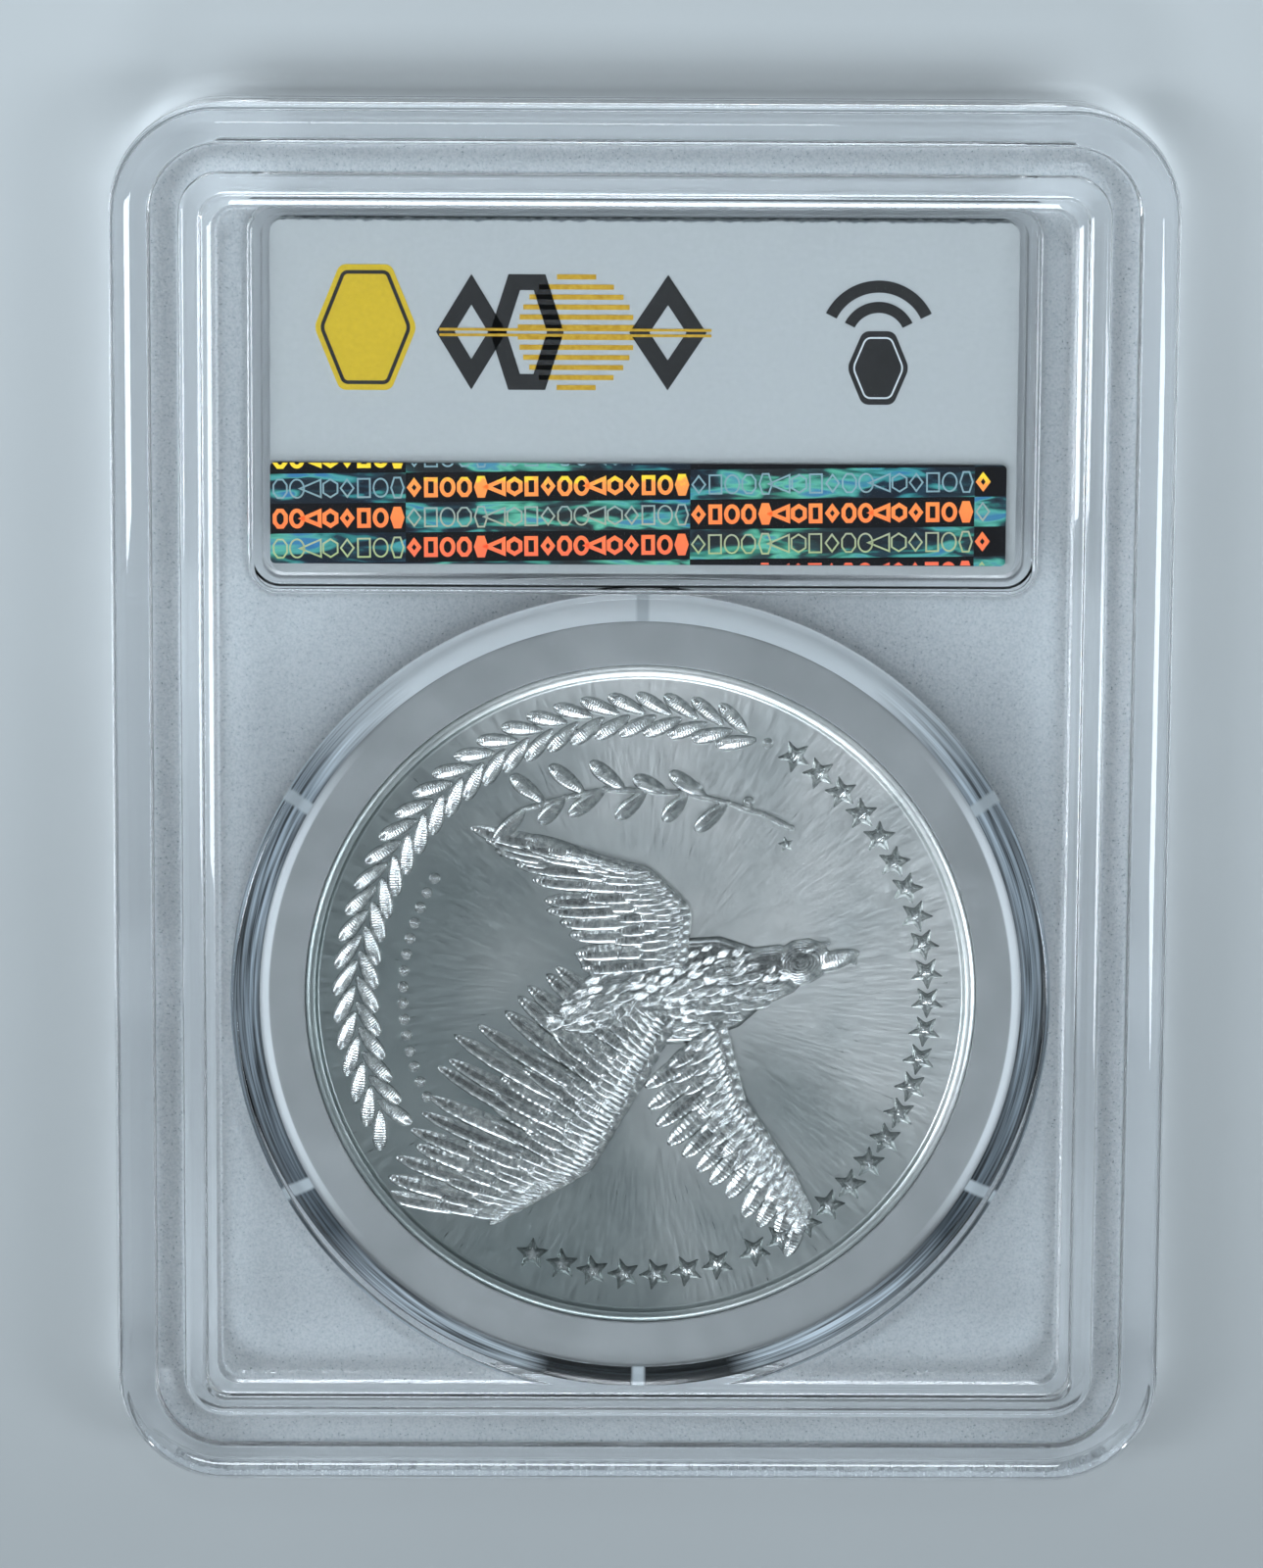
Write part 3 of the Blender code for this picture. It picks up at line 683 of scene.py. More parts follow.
def makeWeld():
    piece = rectangleBand(weld, seamZ / mm - weld["height"] / 2, 1)
    named("weldBeadMelted")
    tidyMesh(piece)
    settle(piece)
    piece.data.remesh_voxel_size = weld["voxel"] * mm
    bpy.ops.object.voxel_remesh()
    lumps = bpy.data.textures.new("weldLumps", "CLOUDS")
    lumps.noise_scale = weld["lump"] * mm
    lumps.noise_depth = 1
    useModifier(piece, "DISPLACE", {
        "texture": lumps, "texture_coords": "LOCAL", "mid_level": 0.62, "strength": weld["lumpHeight"] * mm})
    useModifier(piece, "SMOOTH", {"factor": 0.4, "iterations": 1})
    bpy.ops.object.shade_smooth()
    return paint(piece, weldPlastic())


weldBead = makeWeld()
onRoot(weldBead, "weld", "weld_bead")
print("weld faces", len(weldBead.data.polygons))


# the ring that grips the coin


def makeRing():
    # a section turned round the coin's axis. Its outer shoulder slopes, and at the sides, where it faces the
    # lamps, its material carries a painted highlight
    half = (ringHigh.z - ringLow.z) / 2
    upper = [Vector((ring["bore"] * mm, half - 0.08 * mm)), Vector(((ring["bore"] + 0.08) * mm, half))]
    upper += [Vector((radius * mm, half - drop * mm)) for radius, drop in ring["shoulder"]]
    section = upper + [Vector((p.x, -p.y)) for p in reversed(upper)]
    mesh = bpy.data.meshes.new("coinRingBody")
    mesh.from_pydata([(p.x, coinCentre.y, coinCentre.z + p.y) for p in section],
                     [(k, (k + 1) % len(section)) for k in range(len(section))], [])
    piece = bpy.data.objects.new("coinRingBody", mesh)
    bpy.context.scene.collection.objects.link(piece)
    editAll(piece)
    bpy.ops.mesh.spin(steps=ring["steps"], angle=2 * math.pi, center=(0, coinCentre.y, coinCentre.z),
                      axis=(0, 0, 1))
    bpy.ops.object.mode_set(mode="OBJECT")
    named("coinRingBody")
    tidyMesh(piece, 40)
    settle(piece)
    return paint(piece, ringPlastic("vinylMouldedMilkyPaintedHighlight", ("#989C9D", "#A9ADAE"), 0.25, 22.5))


def makeLugs():
    lugs = []
    reach = (ring["outer"] + ring["lugLength"] / 2 - 0.2) * mm
    for k in range(ring["lugs"]):
        angle = math.pi / 2 + k * 2 * math.pi / ring["lugs"]
        clearSelection()
        place = (reach * math.cos(angle), coinCentre.y + reach * math.sin(angle), coinCentre.z)
        bpy.ops.mesh.primitive_cube_add(size=1.0, rotation=(0, 0, angle), location=place)
        bpy.ops.object.mode_set(mode="EDIT")
        size = (ring["lugLength"] + 0.4, ring["lugWidth"], ring["lugHeight"])
        bpy.ops.transform.resize(value=[side * mm for side in size], orient_type="LOCAL")
        bpy.ops.mesh.select_all(action="SELECT")
        bpy.ops.mesh.bevel(offset=0.12 * mm, segments=3, affect="EDGES")
        bpy.ops.object.mode_set(mode="OBJECT")
        lugs.append(bpy.context.object)
    piece = joined(lugs, "coinRingLugs")
    tidyMesh(piece, 40)
    return paint(piece, ringPlastic("vinylMouldedLug", ("#C3CDD2", "#D5DEE2"), 0.0))


coinRing = makeRing()
onRoot(coinRing, "ring", "coin_ring")
ringLugs = makeLugs()
onRoot(ringLugs, "ring")
print("ring made")


# the coin's blank

blank = {
    "reeds": 200,
    "reedDepth": 0.1,
    "reedInset": 0.07,
    "chamfer": 0.13,
    # steps in from the edge and up, over the rim and down to the dished field
    "section": [(0.06, 0.06), (0.2, 0.07), (0.12, 0.0), (0.2, -0.07), (0.1, -0.2), (0.1, -0.1),
                (0.05, -0.012), (0.08, -0.004), (2.0, -0.006), (4.0, -0.015), (5.0, -0.015), (5.0, -0.01)],
}


def selectFaces(piece, isWanted):
    for element in (*piece.data.vertices, *piece.data.edges):
        element.select = False
    for face in piece.data.polygons:
        face.select = isWanted(face)
        for v in face.vertices if face.select else ():
            piece.data.vertices[v].select = True


def makeBlank():
    thickness = (coinHigh.z - coinLow.z) / mm
    clearSelection()
    bpy.ops.mesh.primitive_cylinder_add(vertices=2 * blank["reeds"], radius=coinRadius,
                                        depth=(thickness - 2 * blank["chamfer"]) * mm, location=coinCentre)
    piece = named("coinBlank")
    for up in (1, -1):
        bpy.ops.object.mode_set(mode="OBJECT")
        selectFaces(piece, lambda face: face.normal.z * up > 0.9 and len(face.vertices) > blank["reeds"])
        bpy.ops.object.mode_set(mode="EDIT")
        bpy.ops.mesh.select_mode(type="FACE")
        for thick, rise in blank["section"]:
            bpy.ops.mesh.inset(thickness=thick * mm, depth=rise * mm, use_even_offset=True)
    bpy.ops.object.mode_set(mode="OBJECT")
    # every other face of the edge is pressed in, for the reeding
    sides = sorted((f for f in piece.data.polygons if abs(f.normal.z) < 0.05),
                   key=lambda f: math.atan2(f.center.y, f.center.x))
    for face in piece.data.polygons:
        face.select = False
    for face in sides[::2]:
        face.select = True
    bpy.ops.object.mode_set(mode="EDIT")
    bpy.ops.mesh.inset(thickness=blank["reedInset"] * mm, depth=-blank["reedDepth"] * mm, use_individual=True)
    bpy.ops.object.mode_set(mode="OBJECT")
    tidyMesh(piece, 35)
    settle(piece)
    return paint(piece, struckSilver("silverStruckField", 0.26, 0.42, 0.006 * mm))


coinBlank = makeBlank()
onRoot(coinBlank, "silver", "coin")
print("coin blank faces", len(coinBlank.data.polygons))


# what is struck on the coin

def meshCopy(template, matrix):
    piece = template.copy()
    piece.data = template.data.copy()
    bpy.context.scene.collection.objects.link(piece)
    piece.matrix_world = matrix
    return piece


def makeFeather():
    # a flattened bead, wider towards its tip, with a raised shaft down the middle
    clearSelection()
    bpy.ops.mesh.primitive_uv_sphere_add(segments=12, ring_count=9, radius=0.5, rotation=(0, math.pi / 2, 0))
    piece = named("featherTemplate")
    settle(piece)
    for vertex in piece.data.vertices:
        x, y, z = vertex.co
        vertex.co.y = y * (0.75 + 0.5 * (x + 0.5))
        if abs(y) < 0.05:
            vertex.co.z = z * 1.35
        vertex.co.x = x + 0.5
    bpy.ops.object.shade_smooth_by_angle(angle=math.radians(50))
    return piece


def makeStar(points, waist):
    # a faceted star: a low cone whose base is drawn in at every other corner
    clearSelection()
    bpy.ops.mesh.primitive_cone_add(vertices=2 * points, radius1=0.5, radius2=0.0, depth=1.0,
                                    location=(0, 0, 0.5))
    piece = named("starTemplate")
    settle(piece)
    base = [v for v in piece.data.vertices if v.co.z < 0.5]
    for k, vertex in enumerate(sorted(base, key=lambda v: math.atan2(v.co.y, v.co.x))):
        if k % 2:
            vertex.co.x *= waist
            vertex.co.y *= waist
    # soft ridges, which catch the light
    editAll(piece)
    bpy.ops.mesh.bevel(offset=0.05, segments=2, affect="EDGES")
    bpy.ops.object.mode_set(mode="OBJECT")
    bpy.ops.object.shade_smooth_by_angle(angle=math.radians(60))
    return piece


def makeBead():
    clearSelection()
    bpy.ops.mesh.primitive_uv_sphere_add(segments=12, ring_count=8, radius=0.5)
    piece = named("beadTemplate")
    bpy.ops.object.shade_smooth()
    return piece


def layOn(template, x, y, angle, length, width, height, lift=0.0, roll=0.0, pitch=0.0):
    # places a copy on the coin's field. Sizes in mm, angles in degrees
    turn = (Matrix.Rotation(math.radians(angle), 4, "Z") @ Matrix.Rotation(math.radians(pitch), 4, "Y")
            @ Matrix.Rotation(math.radians(roll), 4, "X"))
    size = Matrix.Diagonal((length * mm, width * mm, height * mm, 1.0))
    return meshCopy(template, Matrix.Translation(Vector((x, y, lift)) * mm) @ turn @ size)


def alongLine(line, share):
    # a point on a polyline, by its share of the length
    lengths = [(Vector(b) - Vector(a)).length for a, b in zip(line, line[1:])]
    rest = share * sum(lengths)
    for a, b, length in zip(line, line[1:], lengths):
        if rest <= length or b is line[-1]:
            return Vector(a).lerp(Vector(b), min(rest / length, 1.0))
        rest -= length


fans = {
    # name: edge that the feathers hang from, angles and lengths at its two ends and middle, count
    "wingNear": {"edge": [(2.2, 2.0), (2.6, 5.2), (0.4, 7.6), (-3.0, 8.6)], "angles": (188, 180, 166),
                 "lengths": (6.0, 8.2, 8.0), "count": 17},
    "wingFar": {"edge": [(1.6, -1.6), (-0.4, -5.6), (-3.2, -10.6), (-8.6, -13.9)], "angles": (138, 150, 170),
                "lengths": (7.0, 11.2, 7.4), "count": 24},
    "tail": {"edge": [(4.6, -1.8), (6.0, -6.6), (9.0, -10.8), (10.3, -13.2)], "angles": (214, 230, 256),
             "lengths": (6.0, 4.8, 3.4), "count": 18},
}
fanRows = [
    # share of the full length, share of feathers, width, height, lift
    (1.00, 0.72, 1.30, 0.34, 0.02),
    (0.64, 0.86, 1.10, 0.32, 0.10),
    (0.42, 1.10, 0.92, 0.30, 0.17),
    (0.25, 1.50, 0.75, 0.28, 0.23),
    (0.13, 2.00, 0.58, 0.26, 0.27),
]


def between(values, share):
    start, middle, end = values
    return start + (middle - start) * 2 * share if share < 0.5 else middle + (end - middle) * (2 * share - 1)


def makeFan(feather, bead, fan, chance):
    made = []
    for lengthShare, countShare, width, height, lift in fanRows:
        count = int(fan["count"] * countShare)
        for k in range(count):
            share = (k + 0.5) / count
            root = alongLine(fan["edge"], share)
            angle = between(fan["angles"], share) + chance.uniform(-2.0, 2.0)
            length = between(fan["lengths"], share) * lengthShare * chance.uniform(0.94, 1.05)
            made.append(layOn(feather, root.x, root.y, angle, max(length, 0.9), width, height, lift,
                              chance.uniform(9, 16), chance.uniform(0.0, 0.6)))
    # the arm that the feathers hang from, thinner to its tip
    steps = 18
    for k in range(steps):
        a, b = alongLine(fan["edge"], k / steps), alongLine(fan["edge"], (k + 1) / steps)
        middle, run = (a + b) / 2, b - a
        made.append(layOn(bead, middle.x, middle.y, math.degrees(math.atan2(run.y, run.x)), run.length * 2.4,
                          1.3 - 0.8 * k / steps, 0.3, 0.2))
    return made


body = {
    "turn": 12,
    # x, y, turn, length, width, height, lift
    "masses": [(2.6, 0.3, 12, 11.5, 6.6, 0.52, 0.0), (7.4, 1.3, 16, 6.0, 3.6, 0.58, 0.0),
               (9.7, 2.1, 20, 3.8, 2.9, 0.64, 0.0)],
    "beak": [(13.3, 2.75, 198, 2.9, 1.25, 0.42, 0.04), (13.0, 1.9, 104, 1.1, 0.6, 0.34, 0.04)],
    "browAndEye": [(10.6, 3.05, 20, 1.9, 0.5, 0.3, 0.22), (10.6, 2.55, 0, 0.5, 0.5, 0.26, 0.26)],
    "rows": 17,
    "firstRow": 8.6,
    "rowPitch": 0.88,
    "halfWidth": 2.9,
    "widest": 1.6,          # place along the body
    "halfLength": 7.0,
    "featherPitch": 0.62,
}


def makeBody(feather, bead, chance):
    made = []
    for template, group in ((bead, "masses"), (feather, "beak"), (bead, "browAndEye")):
        made += [layOn(template, *place) for place in body[group]]
    # small feathers in rows like scales, all pointing to the tail
    for row in range(body["rows"]):
        along = body["firstRow"] - row * body["rowPitch"]
        reach = 1 - ((along - body["widest"]) / body["halfLength"]) ** 2
        half = body["halfWidth"] * math.sqrt(max(0.0, reach))
        count = max(int(half * 2 / body["featherPitch"]), 2)
        for k in range(count):
            side = (k + 0.5 + 0.5 * (row % 2)) / count * 2 - 1
            turn = math.radians(body["turn"])
            x = along * math.cos(turn) - side * half * math.sin(turn) + 0.9
            y = along * math.sin(turn) + side * half * math.cos(turn) - 0.3
            made.append(layOn(feather, x, y, 180 + body["turn"] + side * 26 + chance.uniform(-9, 9),
                              1.35, 0.8, 0.2, 0.24 - 0.15 * side * side, chance.uniform(-10, 12), 3.0))
    return made


sprig = {"stem": [(9.0, 10.4), (7.4, 11.2), (5.2, 11.9), (2.6, 12.5), (0.2, 12.6), (-2.2, 12.7), (-4.6, 12.2),
                  (-7.0, 11.5)], "thick": 0.42, "leaves": 11, "berries": 3}


def makeSprig(feather, bead, chance):
    made = []
    for a, b in zip(sprig["stem"], sprig["stem"][1:]):
        a, b = Vector(a), Vector(b)
        run = b - a
        middle = (a + b) / 2
        made.append(layOn(bead, middle.x, middle.y, math.degrees(math.atan2(run.y, run.x)),
                          run.length * 1.35, sprig["thick"], 0.4, 0.05))
        made.append(layOn(bead, a.x, a.y, 0, sprig["thick"] * 1.15, sprig["thick"], 0.44, 0.05))
    for k in range(sprig["leaves"]):
        root = alongLine(sprig["stem"], 0.25 + 0.75 * k / (sprig["leaves"] - 1))
        side = 1 if k % 2 else -1
        turn, length = 186 - side * chance.uniform(30, 48), chance.uniform(2.0, 2.9)
        made.append(layOn(feather, root.x, root.y, turn, length, 1.05, 0.34, 0.05, side * 10))
    for k in range(sprig["berries"]):
        root = alongLine(sprig["stem"], 0.15 + 0.2 * k)
        made.append(layOn(bead, root.x - 0.3, root.y + 0.55, 0, 0.75, 0.75, 0.46, 0.03))
    return made


def ringOf(template, radius, start, stop, count, length, width, height, lean=0.0, lift=0.0, middled=False):
    # copies round an arc, their length pointing outwards plus a lean
    made = []
    for k in range(count):
        angle = start + (stop - start) * k / max(count - 1, 1)
        out = Vector((math.cos(math.radians(angle)), math.sin(math.radians(angle)))) * radius
        turn = angle + lean
        if middled:
            out -= Vector((math.cos(math.radians(turn)), math.sin(math.radians(turn)))) * length / 2
        made.append(layOn(template, out.x, out.y, turn, length, width, height, lift))
    return made


def makeRearRelief():
    chance = random.Random(7)
    feather, star, bead = makeFeather(), makeStar(5, 0.45), makeBead()
    pieces = []
    for fan in fans.values():
        pieces += makeFan(feather, bead, fan, chance)
    pieces += makeBody(feather, bead, chance)
    pieces += makeSprig(feather, bead, chance)
    # stars round the right-hand side, paired leaves round the left and top, and beads inside them
    pieces += ringOf(star, 17.4, 58, -66, 22, 2.3, 2.3, 0.46)
    pieces += ringOf(star, 17.4, -74, -112, 7, 2.3, 2.3, 0.46)
    pieces += ringOf(feather, 17.9, 72, 208, 27, 2.6, 0.95, 0.32, lean=62, middled=True)
    pieces += ringOf(feather, 16.6, 70, 206, 27, 2.6, 0.95, 0.32, lean=118, middled=True)
    pieces += ringOf(bead, 14.4, 150, 206, 15, 0.7, 0.7, 0.32)
    pieces += ringOf(bead, 17.3, 64, 64, 1, 0.7, 0.7, 0.34)
    pieces += ringOf(star, 12.8, 47, 47, 1, 1.1, 1.1, 0.24)
    pieces += ringOf(star, 12.3, 133, 133, 1, 1.1, 1.1, 0.24)
    for template in (feather, star, bead):
        bpy.data.objects.remove(template)
    piece = joined(pieces, "coinReliefRear")
    piece.data.transform(Matrix.Translation((coinCentre.x, coinCentre.y, coinHigh.z - reliefBase * mm)))
    return piece


def makeFrontRelief():
    feather, star, bead = makeFeather(), makeStar(8, 0.5), makeBead()
    pieces = [layOn(star, 0, 0, 22.5, 17.0, 17.0, 0.34), layOn(bead, 0, 0, 0, 3.4, 3.4, 0.6)]
    pieces += ringOf(feather, 11.8, 0, 350, 36, 3.0, 1.1, 0.34, lean=58, middled=True)
    pieces += ringOf(feather, 11.8, 5, 355, 36, 3.0, 1.1, 0.34, lean=122, middled=True)
    pieces += ringOf(bead, 14.3, 0, 354, 60, 0.6, 0.6, 0.3)
    pieces += ringOf(star, 17.2, 0, 348, 30, 2.2, 2.2, 0.3)
    for template in (feather, star, bead):
        bpy.data.objects.remove(template)
    piece = joined(pieces, "coinReliefFront")
    flip = Matrix.Rotation(math.pi, 4, "Y")
    piece.data.transform(Matrix.Translation((coinCentre.x, coinCentre.y, coinLow.z + reliefBase * mm)) @ flip)
    return piece


reliefBase = 0.4    # mm below the rim
reliefMaterial = reliefSilver()
for makeRelief in (makeRearRelief, makeFrontRelief):
    relief = paint(makeRelief(), reliefMaterial)
    onRoot(relief, "silver")
    print(relief.name, "faces", len(relief.data.polygons))


# card, inks and foil on the CAD's own sheets

for name, material in (
        # painted shade: the rear card's colours are darker than the front card's, though both are the same
        # white stock
        ("rear_label", cardStock("cardCoatedPrintedRearShaded", "#B4BABB", "#AEB4B5")),
        ("front_label", cardStock("cardCoatedPrintedFront", "#D2D9DA", "#CAD2D3")),
        ("security_foil", rainbowFoil()),
        ("tag_film", thinSheet("filmPolyesterCast", ("#D9DEDD", "#E8ECEA"), 0.2, 0.0, 4 * mm)),
        ("tag_antenna", thinSheet("aluminiumFoilEtched", ("#B9BDBE", "#D4D6D6"), 0.32, 1.0, 0.6 * mm)),
        ("tag_insulator", thinSheet("lacquerScreenPrinted", ("#3D5E49", "#4C6F58"), 0.35, 0.0, 1 * mm)),
        ("tag_bridge", thinSheet("aluminiumFoilCrimped", ("#B9BDBE", "#D4D6D6"), 0.36, 1.0, 0.5 * mm)),
        ("tag_chip", thinSheet("siliconDieSawn", ("#3A3D42", "#4B4F55"), 0.25, 0.4, 0.3 * mm))):
    paint(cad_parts[name], material)
print("sheets painted")


# what is printed on the card, and stamped on the foil

ink = {"thick": 0.03, "sink": 0.005}


def raiseInk():
    bpy.ops.mesh.select_all(action="SELECT")
    bpy.ops.mesh.normals_make_consistent(inside=False)
    bpy.ops.mesh.extrude_region_move(TRANSFORM_OT_translate={"value": (0, 0, ink["thick"] * mm)})
    bpy.ops.object.mode_set(mode="OBJECT")
    piece = named("inkMark")
    tidyMesh(piece)
    return settle(piece)


def inkPolygon(base, x, y, width, height, sides, turn=0.0, line=0.0, corner=0.0):
    # a filled polygon, or a ring of one where line is given
    clearSelection()
    bpy.ops.mesh.primitive_circle_add(vertices=sides, radius=0.5, fill_type="NGON",
                                      rotation=(0, 0, math.radians(turn)), location=(x * mm, y * mm, base))
    bpy.ops.object.transform_apply(location=False, rotation=True, scale=False)
    piece = bpy.context.object
    wide = max(v.co.x for v in piece.data.vertices) * 2
    tall = max(v.co.y for v in piece.data.vertices) * 2
    editAll()
    bpy.ops.transform.resize(value=(width / wide * mm, height / tall * mm, 1.0),
                             center_override=(x * mm, y * mm, base))
    if corner:
        bpy.ops.mesh.bevel(offset=corner * mm, segments=4, affect="VERTICES")
    if line:
        bpy.ops.mesh.select_all(action="SELECT")
        bpy.ops.mesh.inset(thickness=line * mm, depth=0, use_even_offset=True)
        bpy.ops.mesh.delete(type="FACE")
    return raiseInk()


def inkArc(base, x, y, radius, line, cut):
    # the upper part of a ring
    clearSelection()
    bpy.ops.mesh.primitive_circle_add(vertices=96, radius=radius * mm, fill_type="NGON",
                                      location=(x * mm, y * mm, base))
    editAll()
    bpy.ops.mesh.inset(thickness=line * mm, depth=0, use_even_offset=True)
    bpy.ops.mesh.delete(type="FACE")
    for side in (1, -1):
        angle = math.radians(cut)
        bpy.ops.mesh.select_all(action="SELECT")
        bpy.ops.mesh.bisect(plane_co=(x * mm, y * mm, base),
                            plane_no=(-side * math.sin(angle), math.cos(angle), 0), clear_inner=True)
    return raiseInk()


def inkBar(base, x, y, width, height, corner=0.0):
    return inkPolygon(base, x, y, width, height, 4, 45, 0.0, corner)


def printRearLabel():
    base = labelHigh.z - ink["sink"] * mm
    over = base + ink["thick"] * mm * 0.5
    yellow = [inkPolygon(base, -16.6, 28.55, 6.1, 7.5, 6, 30, corner=0.35)]
    black = [inkPolygon(over, -16.6, 28.55, 5.45, 6.8, 6, 30, line=0.22, corner=0.3)]
    # the wide mark: heavy diamonds and a hexagon, with a striped gold disc between them
    black += [inkPolygon(base, -10.3, 28.3, 4.2, 6.9, 4, 0, line=0.95),
              inkPolygon(base, -7.0, 28.3, 4.4, 6.9, 6, 30, line=0.95),
              inkPolygon(base, 1.4, 28.3, 4.6, 6.9, 4, 0, line=1.0)]
    gold = []
    for k in range(12):
        y = 28.3 - 3.3 + 0.6 * k
        chord = 2 * math.sqrt(max(3.5 ** 2 - (y - 28.3) ** 2, 0.2))
        gold.append(inkBar(base, -4.05, y, chord, 0.3))
    gold += [inkBar(over, -4.1, 28.45, 16.2, 0.16), inkBar(over, -4.1, 28.12, 16.2, 0.16)]
    # the contactless sign: two arcs over a small hexagon
    black += [inkArc(base, 13.95, 27.95, 3.52, 0.72, 26), inkArc(base, 13.95, 27.95, 2.25, 0.66, 28),
              inkPolygon(base, 13.95, 26.25, 3.7, 4.4, 6, 30, corner=0.35)]
    pale = [inkPolygon(over, 13.95, 26.25, 3.1, 3.7, 6, 30, line=0.1, corner=0.3)]
    return yellow, black, gold, pale


def printFrontLabel():
    base = frontLabelLow.z - (ink["thick"] - ink["sink"]) * mm
    black = [inkPolygon(base, 15.4, 28.6, 4.6, 5.6, 6, 30, line=0.3, corner=0.3)]
    for x, y, width, height in ((-4.6, 31.8, 22.0, 1.5), (-7.6, 28.9, 16.0, 1.2), (-9.6, 26.3, 12.0, 1.2),
                                (9.2, 17.8, 12.0, 1.4)):
        black.append(inkBar(base, x, y, width, height, 0.2))
    for k in range(26):
        black.append(inkBar(base, -18.6 + k * 0.62, 19.0, 0.16 + 0.2 * (k * 7 % 3) / 2, 4.4))
    yellow = [inkBar(base, 0.0, 22.9, 42.5, 0.4)]
    return yellow, black


inkBlack = printingInk("inkOffsetBlack", ("#0D0E0F", "#151617"), 0.5)
inkYellow = printingInk("inkOffsetOchre", ("#C9AC16", "#D3B51E"), 0.45)
inkGold = printingInk("inkOffsetGold", ("#C79A22", "#DDB540"), 0.35, 0.3)
inkPale = printingInk("inkOffsetPaperShow", ("#C9D2D6", "#D8DFE2"), 0.5)
printNames = ("printRearYellow", "printRearBlack", "printRearGold", "printRearPale",
              "printFrontYellow", "printFrontBlack")
inks = (inkYellow, inkBlack, inkGold, inkPale, inkYellow, inkBlack)
for marks, material, name in zip((*printRearLabel(), *printFrontLabel()), inks, printNames):
    onRoot(paint(joined(marks, name), material), "label_card")
print("card printed")


def figureTemplates(thin):
    # plain figures that stand in a row on the foil: rings of three to many sides, and a hexagon
    line = 0.1 if thin else 0.24
    ink["thick"] = 0.015
    made = []
    for sides, turn, width in ((4, 0, 0.9), (24, 0, 0.95), (4, 45, 0.82), (3, 90, 0.95), (6, 0, 0.95),
                               (8, 22.5, 0.9)):
        made.append(inkPolygon(0.0, 0, 0, width, 1.2, sides, turn, line=line))
    made.append(inkPolygon(0.0, 0, 0, 0.86, 1.3, 6, 30, line=line if thin else 0.0))
    return made


def stampFoil():
    bold, thin = figureTemplates(False), figureTemplates(True)
    order = [0, 2, 1, 5, 6, 3, 4, 2, 0, 5, 1, 3, 4, 0, 2, 1, 6]
    groups = ([], [])
    top = foilHigh.z
    pitch = foilBands["blockWidth"] / len(order)
    for row in range(-1, 4):
        for column in range(-1, 3):
            for k, kind in enumerate(order):
                x = foilBands["firstBlock"] + column * foilBands["blockWidth"] + (k + 0.5) * pitch
                y = foilBands["firstRow"] + (row + 0.5) * foilBands["rowPitch"] + foilBands["slant"] * x
                if not (foilLow.x + 0.5 * mm < x < foilHigh.x - 0.5 * mm
                        and foilLow.y - 0.5 * mm < y < foilHigh.y + 0.5 * mm):
                    continue
                streaked = (row + column) % 2
                template = (thin if streaked else bold)[kind]
                turn = Matrix.Rotation(math.atan(foilBands["slant"]), 4, "Z")
                groups[streaked].append(meshCopy(template, Matrix.Translation((x, y, top)) @ turn))
    pieces = []
    for group, name in zip(groups, ("foilFiguresBold", "foilFiguresThin")):
        piece = joined(group, name)
        # what runs past the strip's edges is cut away
        clearSelection()
        bpy.ops.mesh.primitive_cube_add(size=1.0, location=(foilLow + foilHigh) / 2)
        bpy.ops.transform.resize(value=(foilHigh.x - foilLow.x, foilHigh.y - foilLow.y - 0.08 * mm, 1.0 * mm))
        combine(piece, settle(bpy.context.object), "INTERSECT")
        pieces.append(piece)
    for template in bold + thin:
        bpy.data.objects.remove(template)
    return pieces


def stampedColour(name, stops, paintedGlow):
    # painted glow and reflection: the figures emit the one pure colour that diffraction throws back, which
    # turns from red at the bottom row to yellow at the top
    material, shader, place, add = newMaterial(
        name, {"Metallic": 0.3, "Roughness": 0.38, "Emission Strength": paintedGlow})
    split = add("SeparateXYZ", None, {0: place})
    share = add("MapRange", {1: foilLow.y, 2: foilHigh.y}, {0: split.outputs[1]})
    speck = add("TexNoise", {"Scale": 1 / (0.5 * mm), "Detail": 3}, {"Vector": place})
    shift = add("Math MULTIPLY_ADD", {1: 0.25}, {0: speck, 2: share})
    ramp = add("ValToRGB", {"stops": stops}, {"Fac": shift})
    link(ramp, shader, "Base Color")
    link(ramp, shader, "Emission Color")
    return material


boldFigures, thinFigures = stampFoil()
# both figure sets shine by a painted glow of their own colour
paint(boldFigures, stampedColour("foilStampedOrangePaintedGlow", [
    (0.15, "#EE6A4C"), (0.5, "#F47C42"), (0.93, "#F3954A"), (1.0, "#F0CE34")], 0.45))
paint(thinFigures, stampedColour("foilStampedPalePaintedGlow", [
    (0.15, "#B7C98A"), (0.5, "#B5B9A0"), (0.85, "#8FB0B8")], 0.15))
for piece in (boldFigures, thinFigures):
    onRoot(piece, "foil")
print("foil stamped")


# floor, light and camera

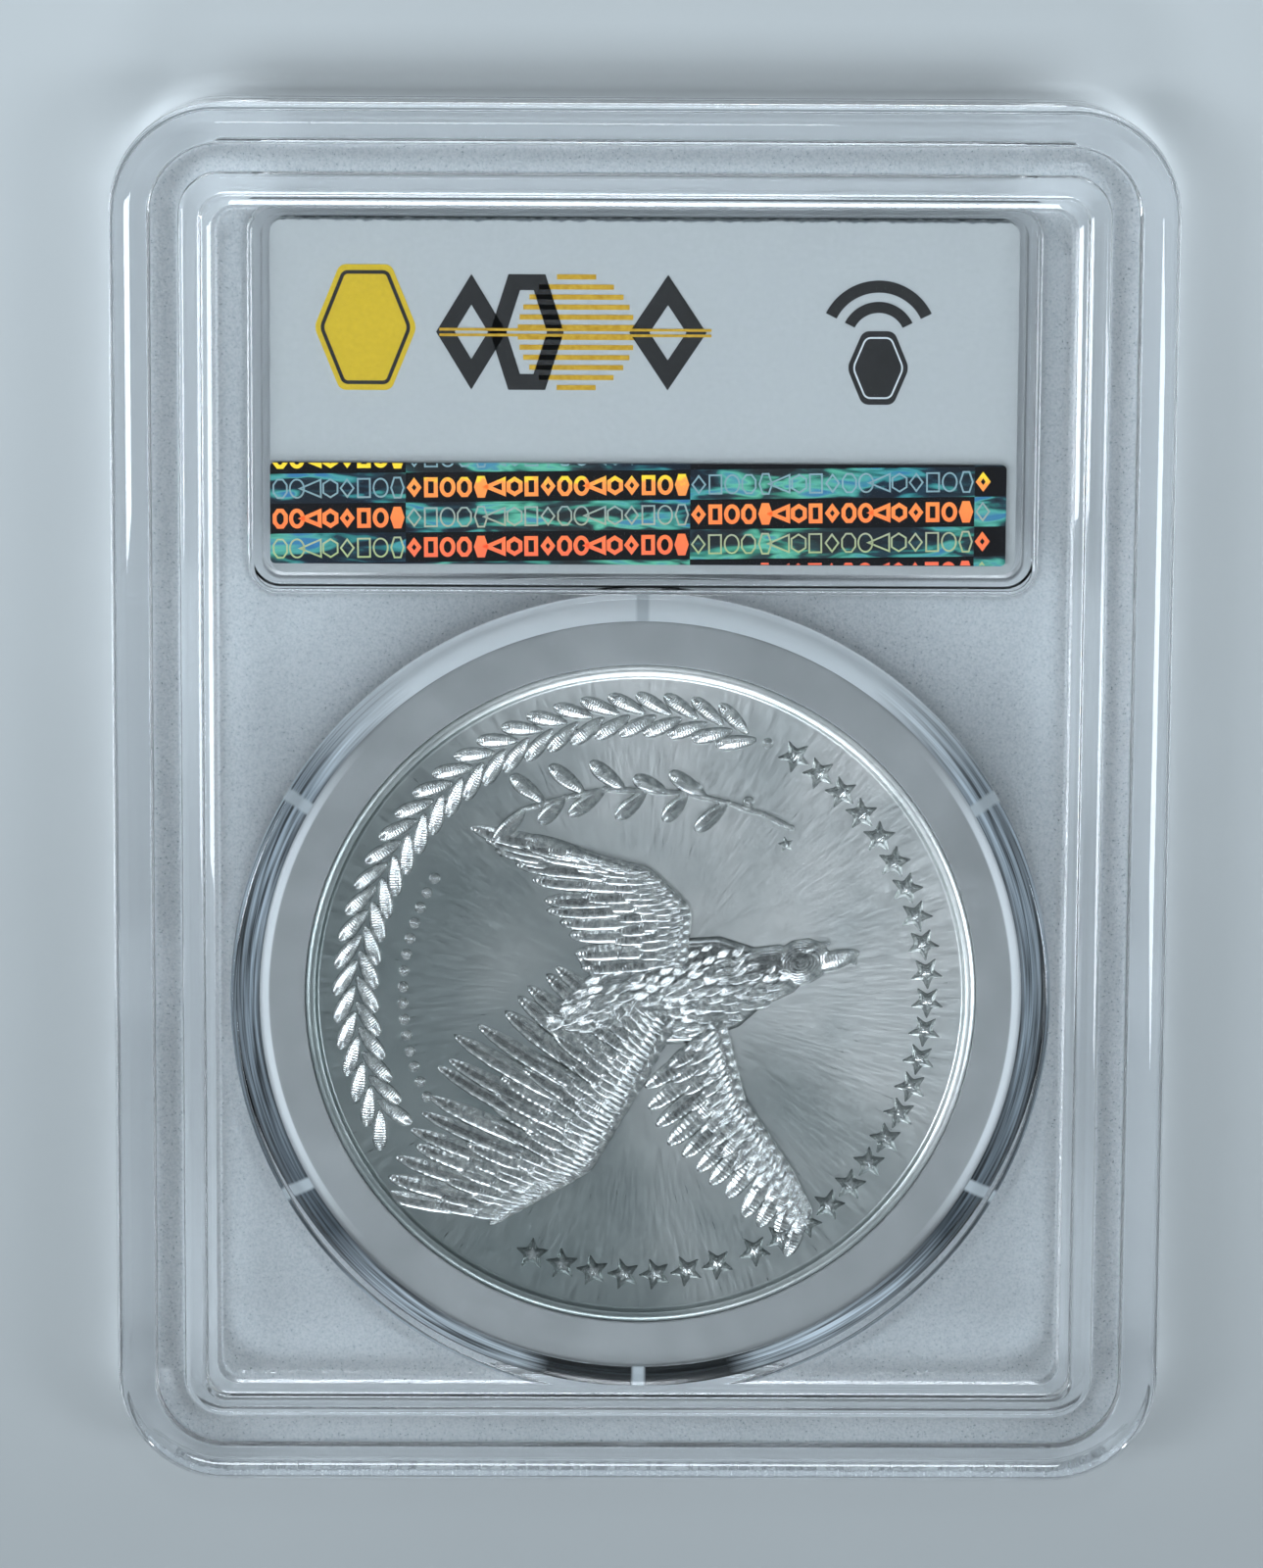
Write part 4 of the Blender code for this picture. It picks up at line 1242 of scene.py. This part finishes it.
def makeFloor():
    clearSelection()
    bpy.ops.mesh.primitive_plane_add(size=3.0, location=(0, 0, 0))
    floor = named("studioFloor")
    material, shader, place, add = newMaterial("paperSeamlessMatte", {"Roughness": 0.85})
    cloud = add("TexNoise", {"Scale": 1 / (40 * mm), "Detail": 3}, {"Vector": place})
    shade = add("ValToRGB", {"stops": [(0.3, "#E2E8EA"), (0.7, "#E7EDEF")]}, {"Fac": cloud})
    # painted light falloff: the paper's colour is painted dimmer towards the front and the right
    split = add("SeparateXYZ", None, {0: place})
    y = split.outputs[1]
    forward = add("MapRange", {1: -50 * mm, 2: 50 * mm, 3: 0.71, 4: 1.10}, {0: y})
    across = add("MapRange", {1: -40 * mm, 2: 40 * mm, 3: 0.94, 4: 0.90}, {0: split})
    dim = add("Math MULTIPLY", None, {0: forward, 1: across})
    # soft contact shade behind the holder's label end
    side = add("Math ABSOLUTE", None, {0: split})
    smooth = "SMOOTHSTEP"
    ends = add("MapRange", {"interpolation_type": smooth, 1: 31 * mm, 2: 20 * mm}, {0: side})
    behind = add("MapRange", {"interpolation_type": smooth, 1: 46.5 * mm, 2: 41.0 * mm}, {0: y})
    within = add("MapRange", {1: 40.3 * mm, 2: 42.3 * mm}, {0: y})
    area = add("Math MULTIPLY", None, {0: ends, 1: behind})
    shaded = add("Math MULTIPLY", None, {0: area, 1: within})
    left = add("MapRange", {3: 1.0, 4: 0.34}, {0: shaded})
    dim = add("Math MULTIPLY", None, {0: dim, 1: left})
    scaled = add("VectorMath SCALE", None, {0: shade, "Scale": dim})
    link(scaled, shader, "Base Color")
    floor.data.materials.append(material)


lamps = {
    # name: place in m, size in m, watts, colour
    "softboxLeft": ((-0.46, -0.02, 0.60), (0.13, 0.24), 1.36, "#EFF7FF"),
    "softboxRight": ((0.52, -0.10, 0.56), (0.13, 0.24), 1.1, "#EFF7FF"),
    "softboxFront": ((-0.05, -0.62, 0.62), (0.36, 0.10), 1.4, "#EFF7FF"),
    "softboxBack": ((-0.02, 0.42, 0.80), (0.14, 0.07), 0.25, "#EFF7FF"),
}


room = {
    "strength": 0.55,
    # share of the way from floor to ceiling, and its shade
    "shades": [(0.0, "#363D41"), (0.22, "#77828A"), (0.42, "#B2BEC5"), (0.75, "#CBD6DC"), (0.93, "#CBD6DC"),
               (0.97, "#50575B")],
}


def makeLamps():
    for name, (place, size, power, colour) in lamps.items():
        data = bpy.data.lights.new(name, "AREA")
        data.shape = "RECTANGLE"
        data.size, data.size_y = size
        data.energy = power
        data.color = toLinear(colour)[:3]
        lamp = bpy.data.objects.new(name, data)
        lamp.location = place
        lamp.rotation_euler = (-Vector(place)).to_track_quat("-Z", "Y").to_euler()
        bpy.context.scene.collection.objects.link(lamp)
    world = bpy.data.worlds.new("studioRoom")
    world.use_nodes = True
    background = world.node_tree.nodes["Background"]
    # a pale ceiling over a dim room, so that steep walls of plastic have something dark to show
    place = addNode(world, "TexCoord")
    split = addNode(world, "SeparateXYZ", None, {0: place.outputs["Generated"]})
    sky = addNode(world, "ValToRGB", {"stops": room["shades"]}, {"Fac": split.outputs[2]})
    link(sky, background, "Color")
    background.inputs["Strength"].default_value = room["strength"]
    bpy.context.scene.world = world
    bpy.context.scene.view_settings.view_transform = "Standard"


view = {"target": (-0.64, 1.45, 7.9), "distance": 372.6, "tilt": 10.0, "yaw": -0.64, "roll": 0.332,
        "lens": 142.85}


def makeCamera():
    tilt, yaw, roll = (math.radians(view[key]) for key in ("tilt", "yaw", "roll"))
    back = Vector((math.sin(yaw), math.sin(tilt) * math.cos(yaw), math.cos(tilt) * math.cos(yaw)))
    right = Vector((0, 1, 0)).cross(back).normalized()
    up = back.cross(right)
    right, up = (right * math.cos(roll) + up * math.sin(roll), up * math.cos(roll) - right * math.sin(roll))
    data = bpy.data.cameras.new("studioCamera")
    data.lens = view["lens"]
    data.sensor_width = 36.0
    data.clip_start = 0.01
    camera = bpy.data.objects.new("studioCamera", data)
    turn = Matrix((right, up, back)).transposed().to_4x4()
    camera.matrix_world = Matrix.Translation((Vector(view["target"]) + back * view["distance"]) * mm) @ turn
    bpy.context.scene.collection.objects.link(camera)
    bpy.context.scene.camera = camera


makeFloor()
makeLamps()
makeCamera()
print("studio ready")
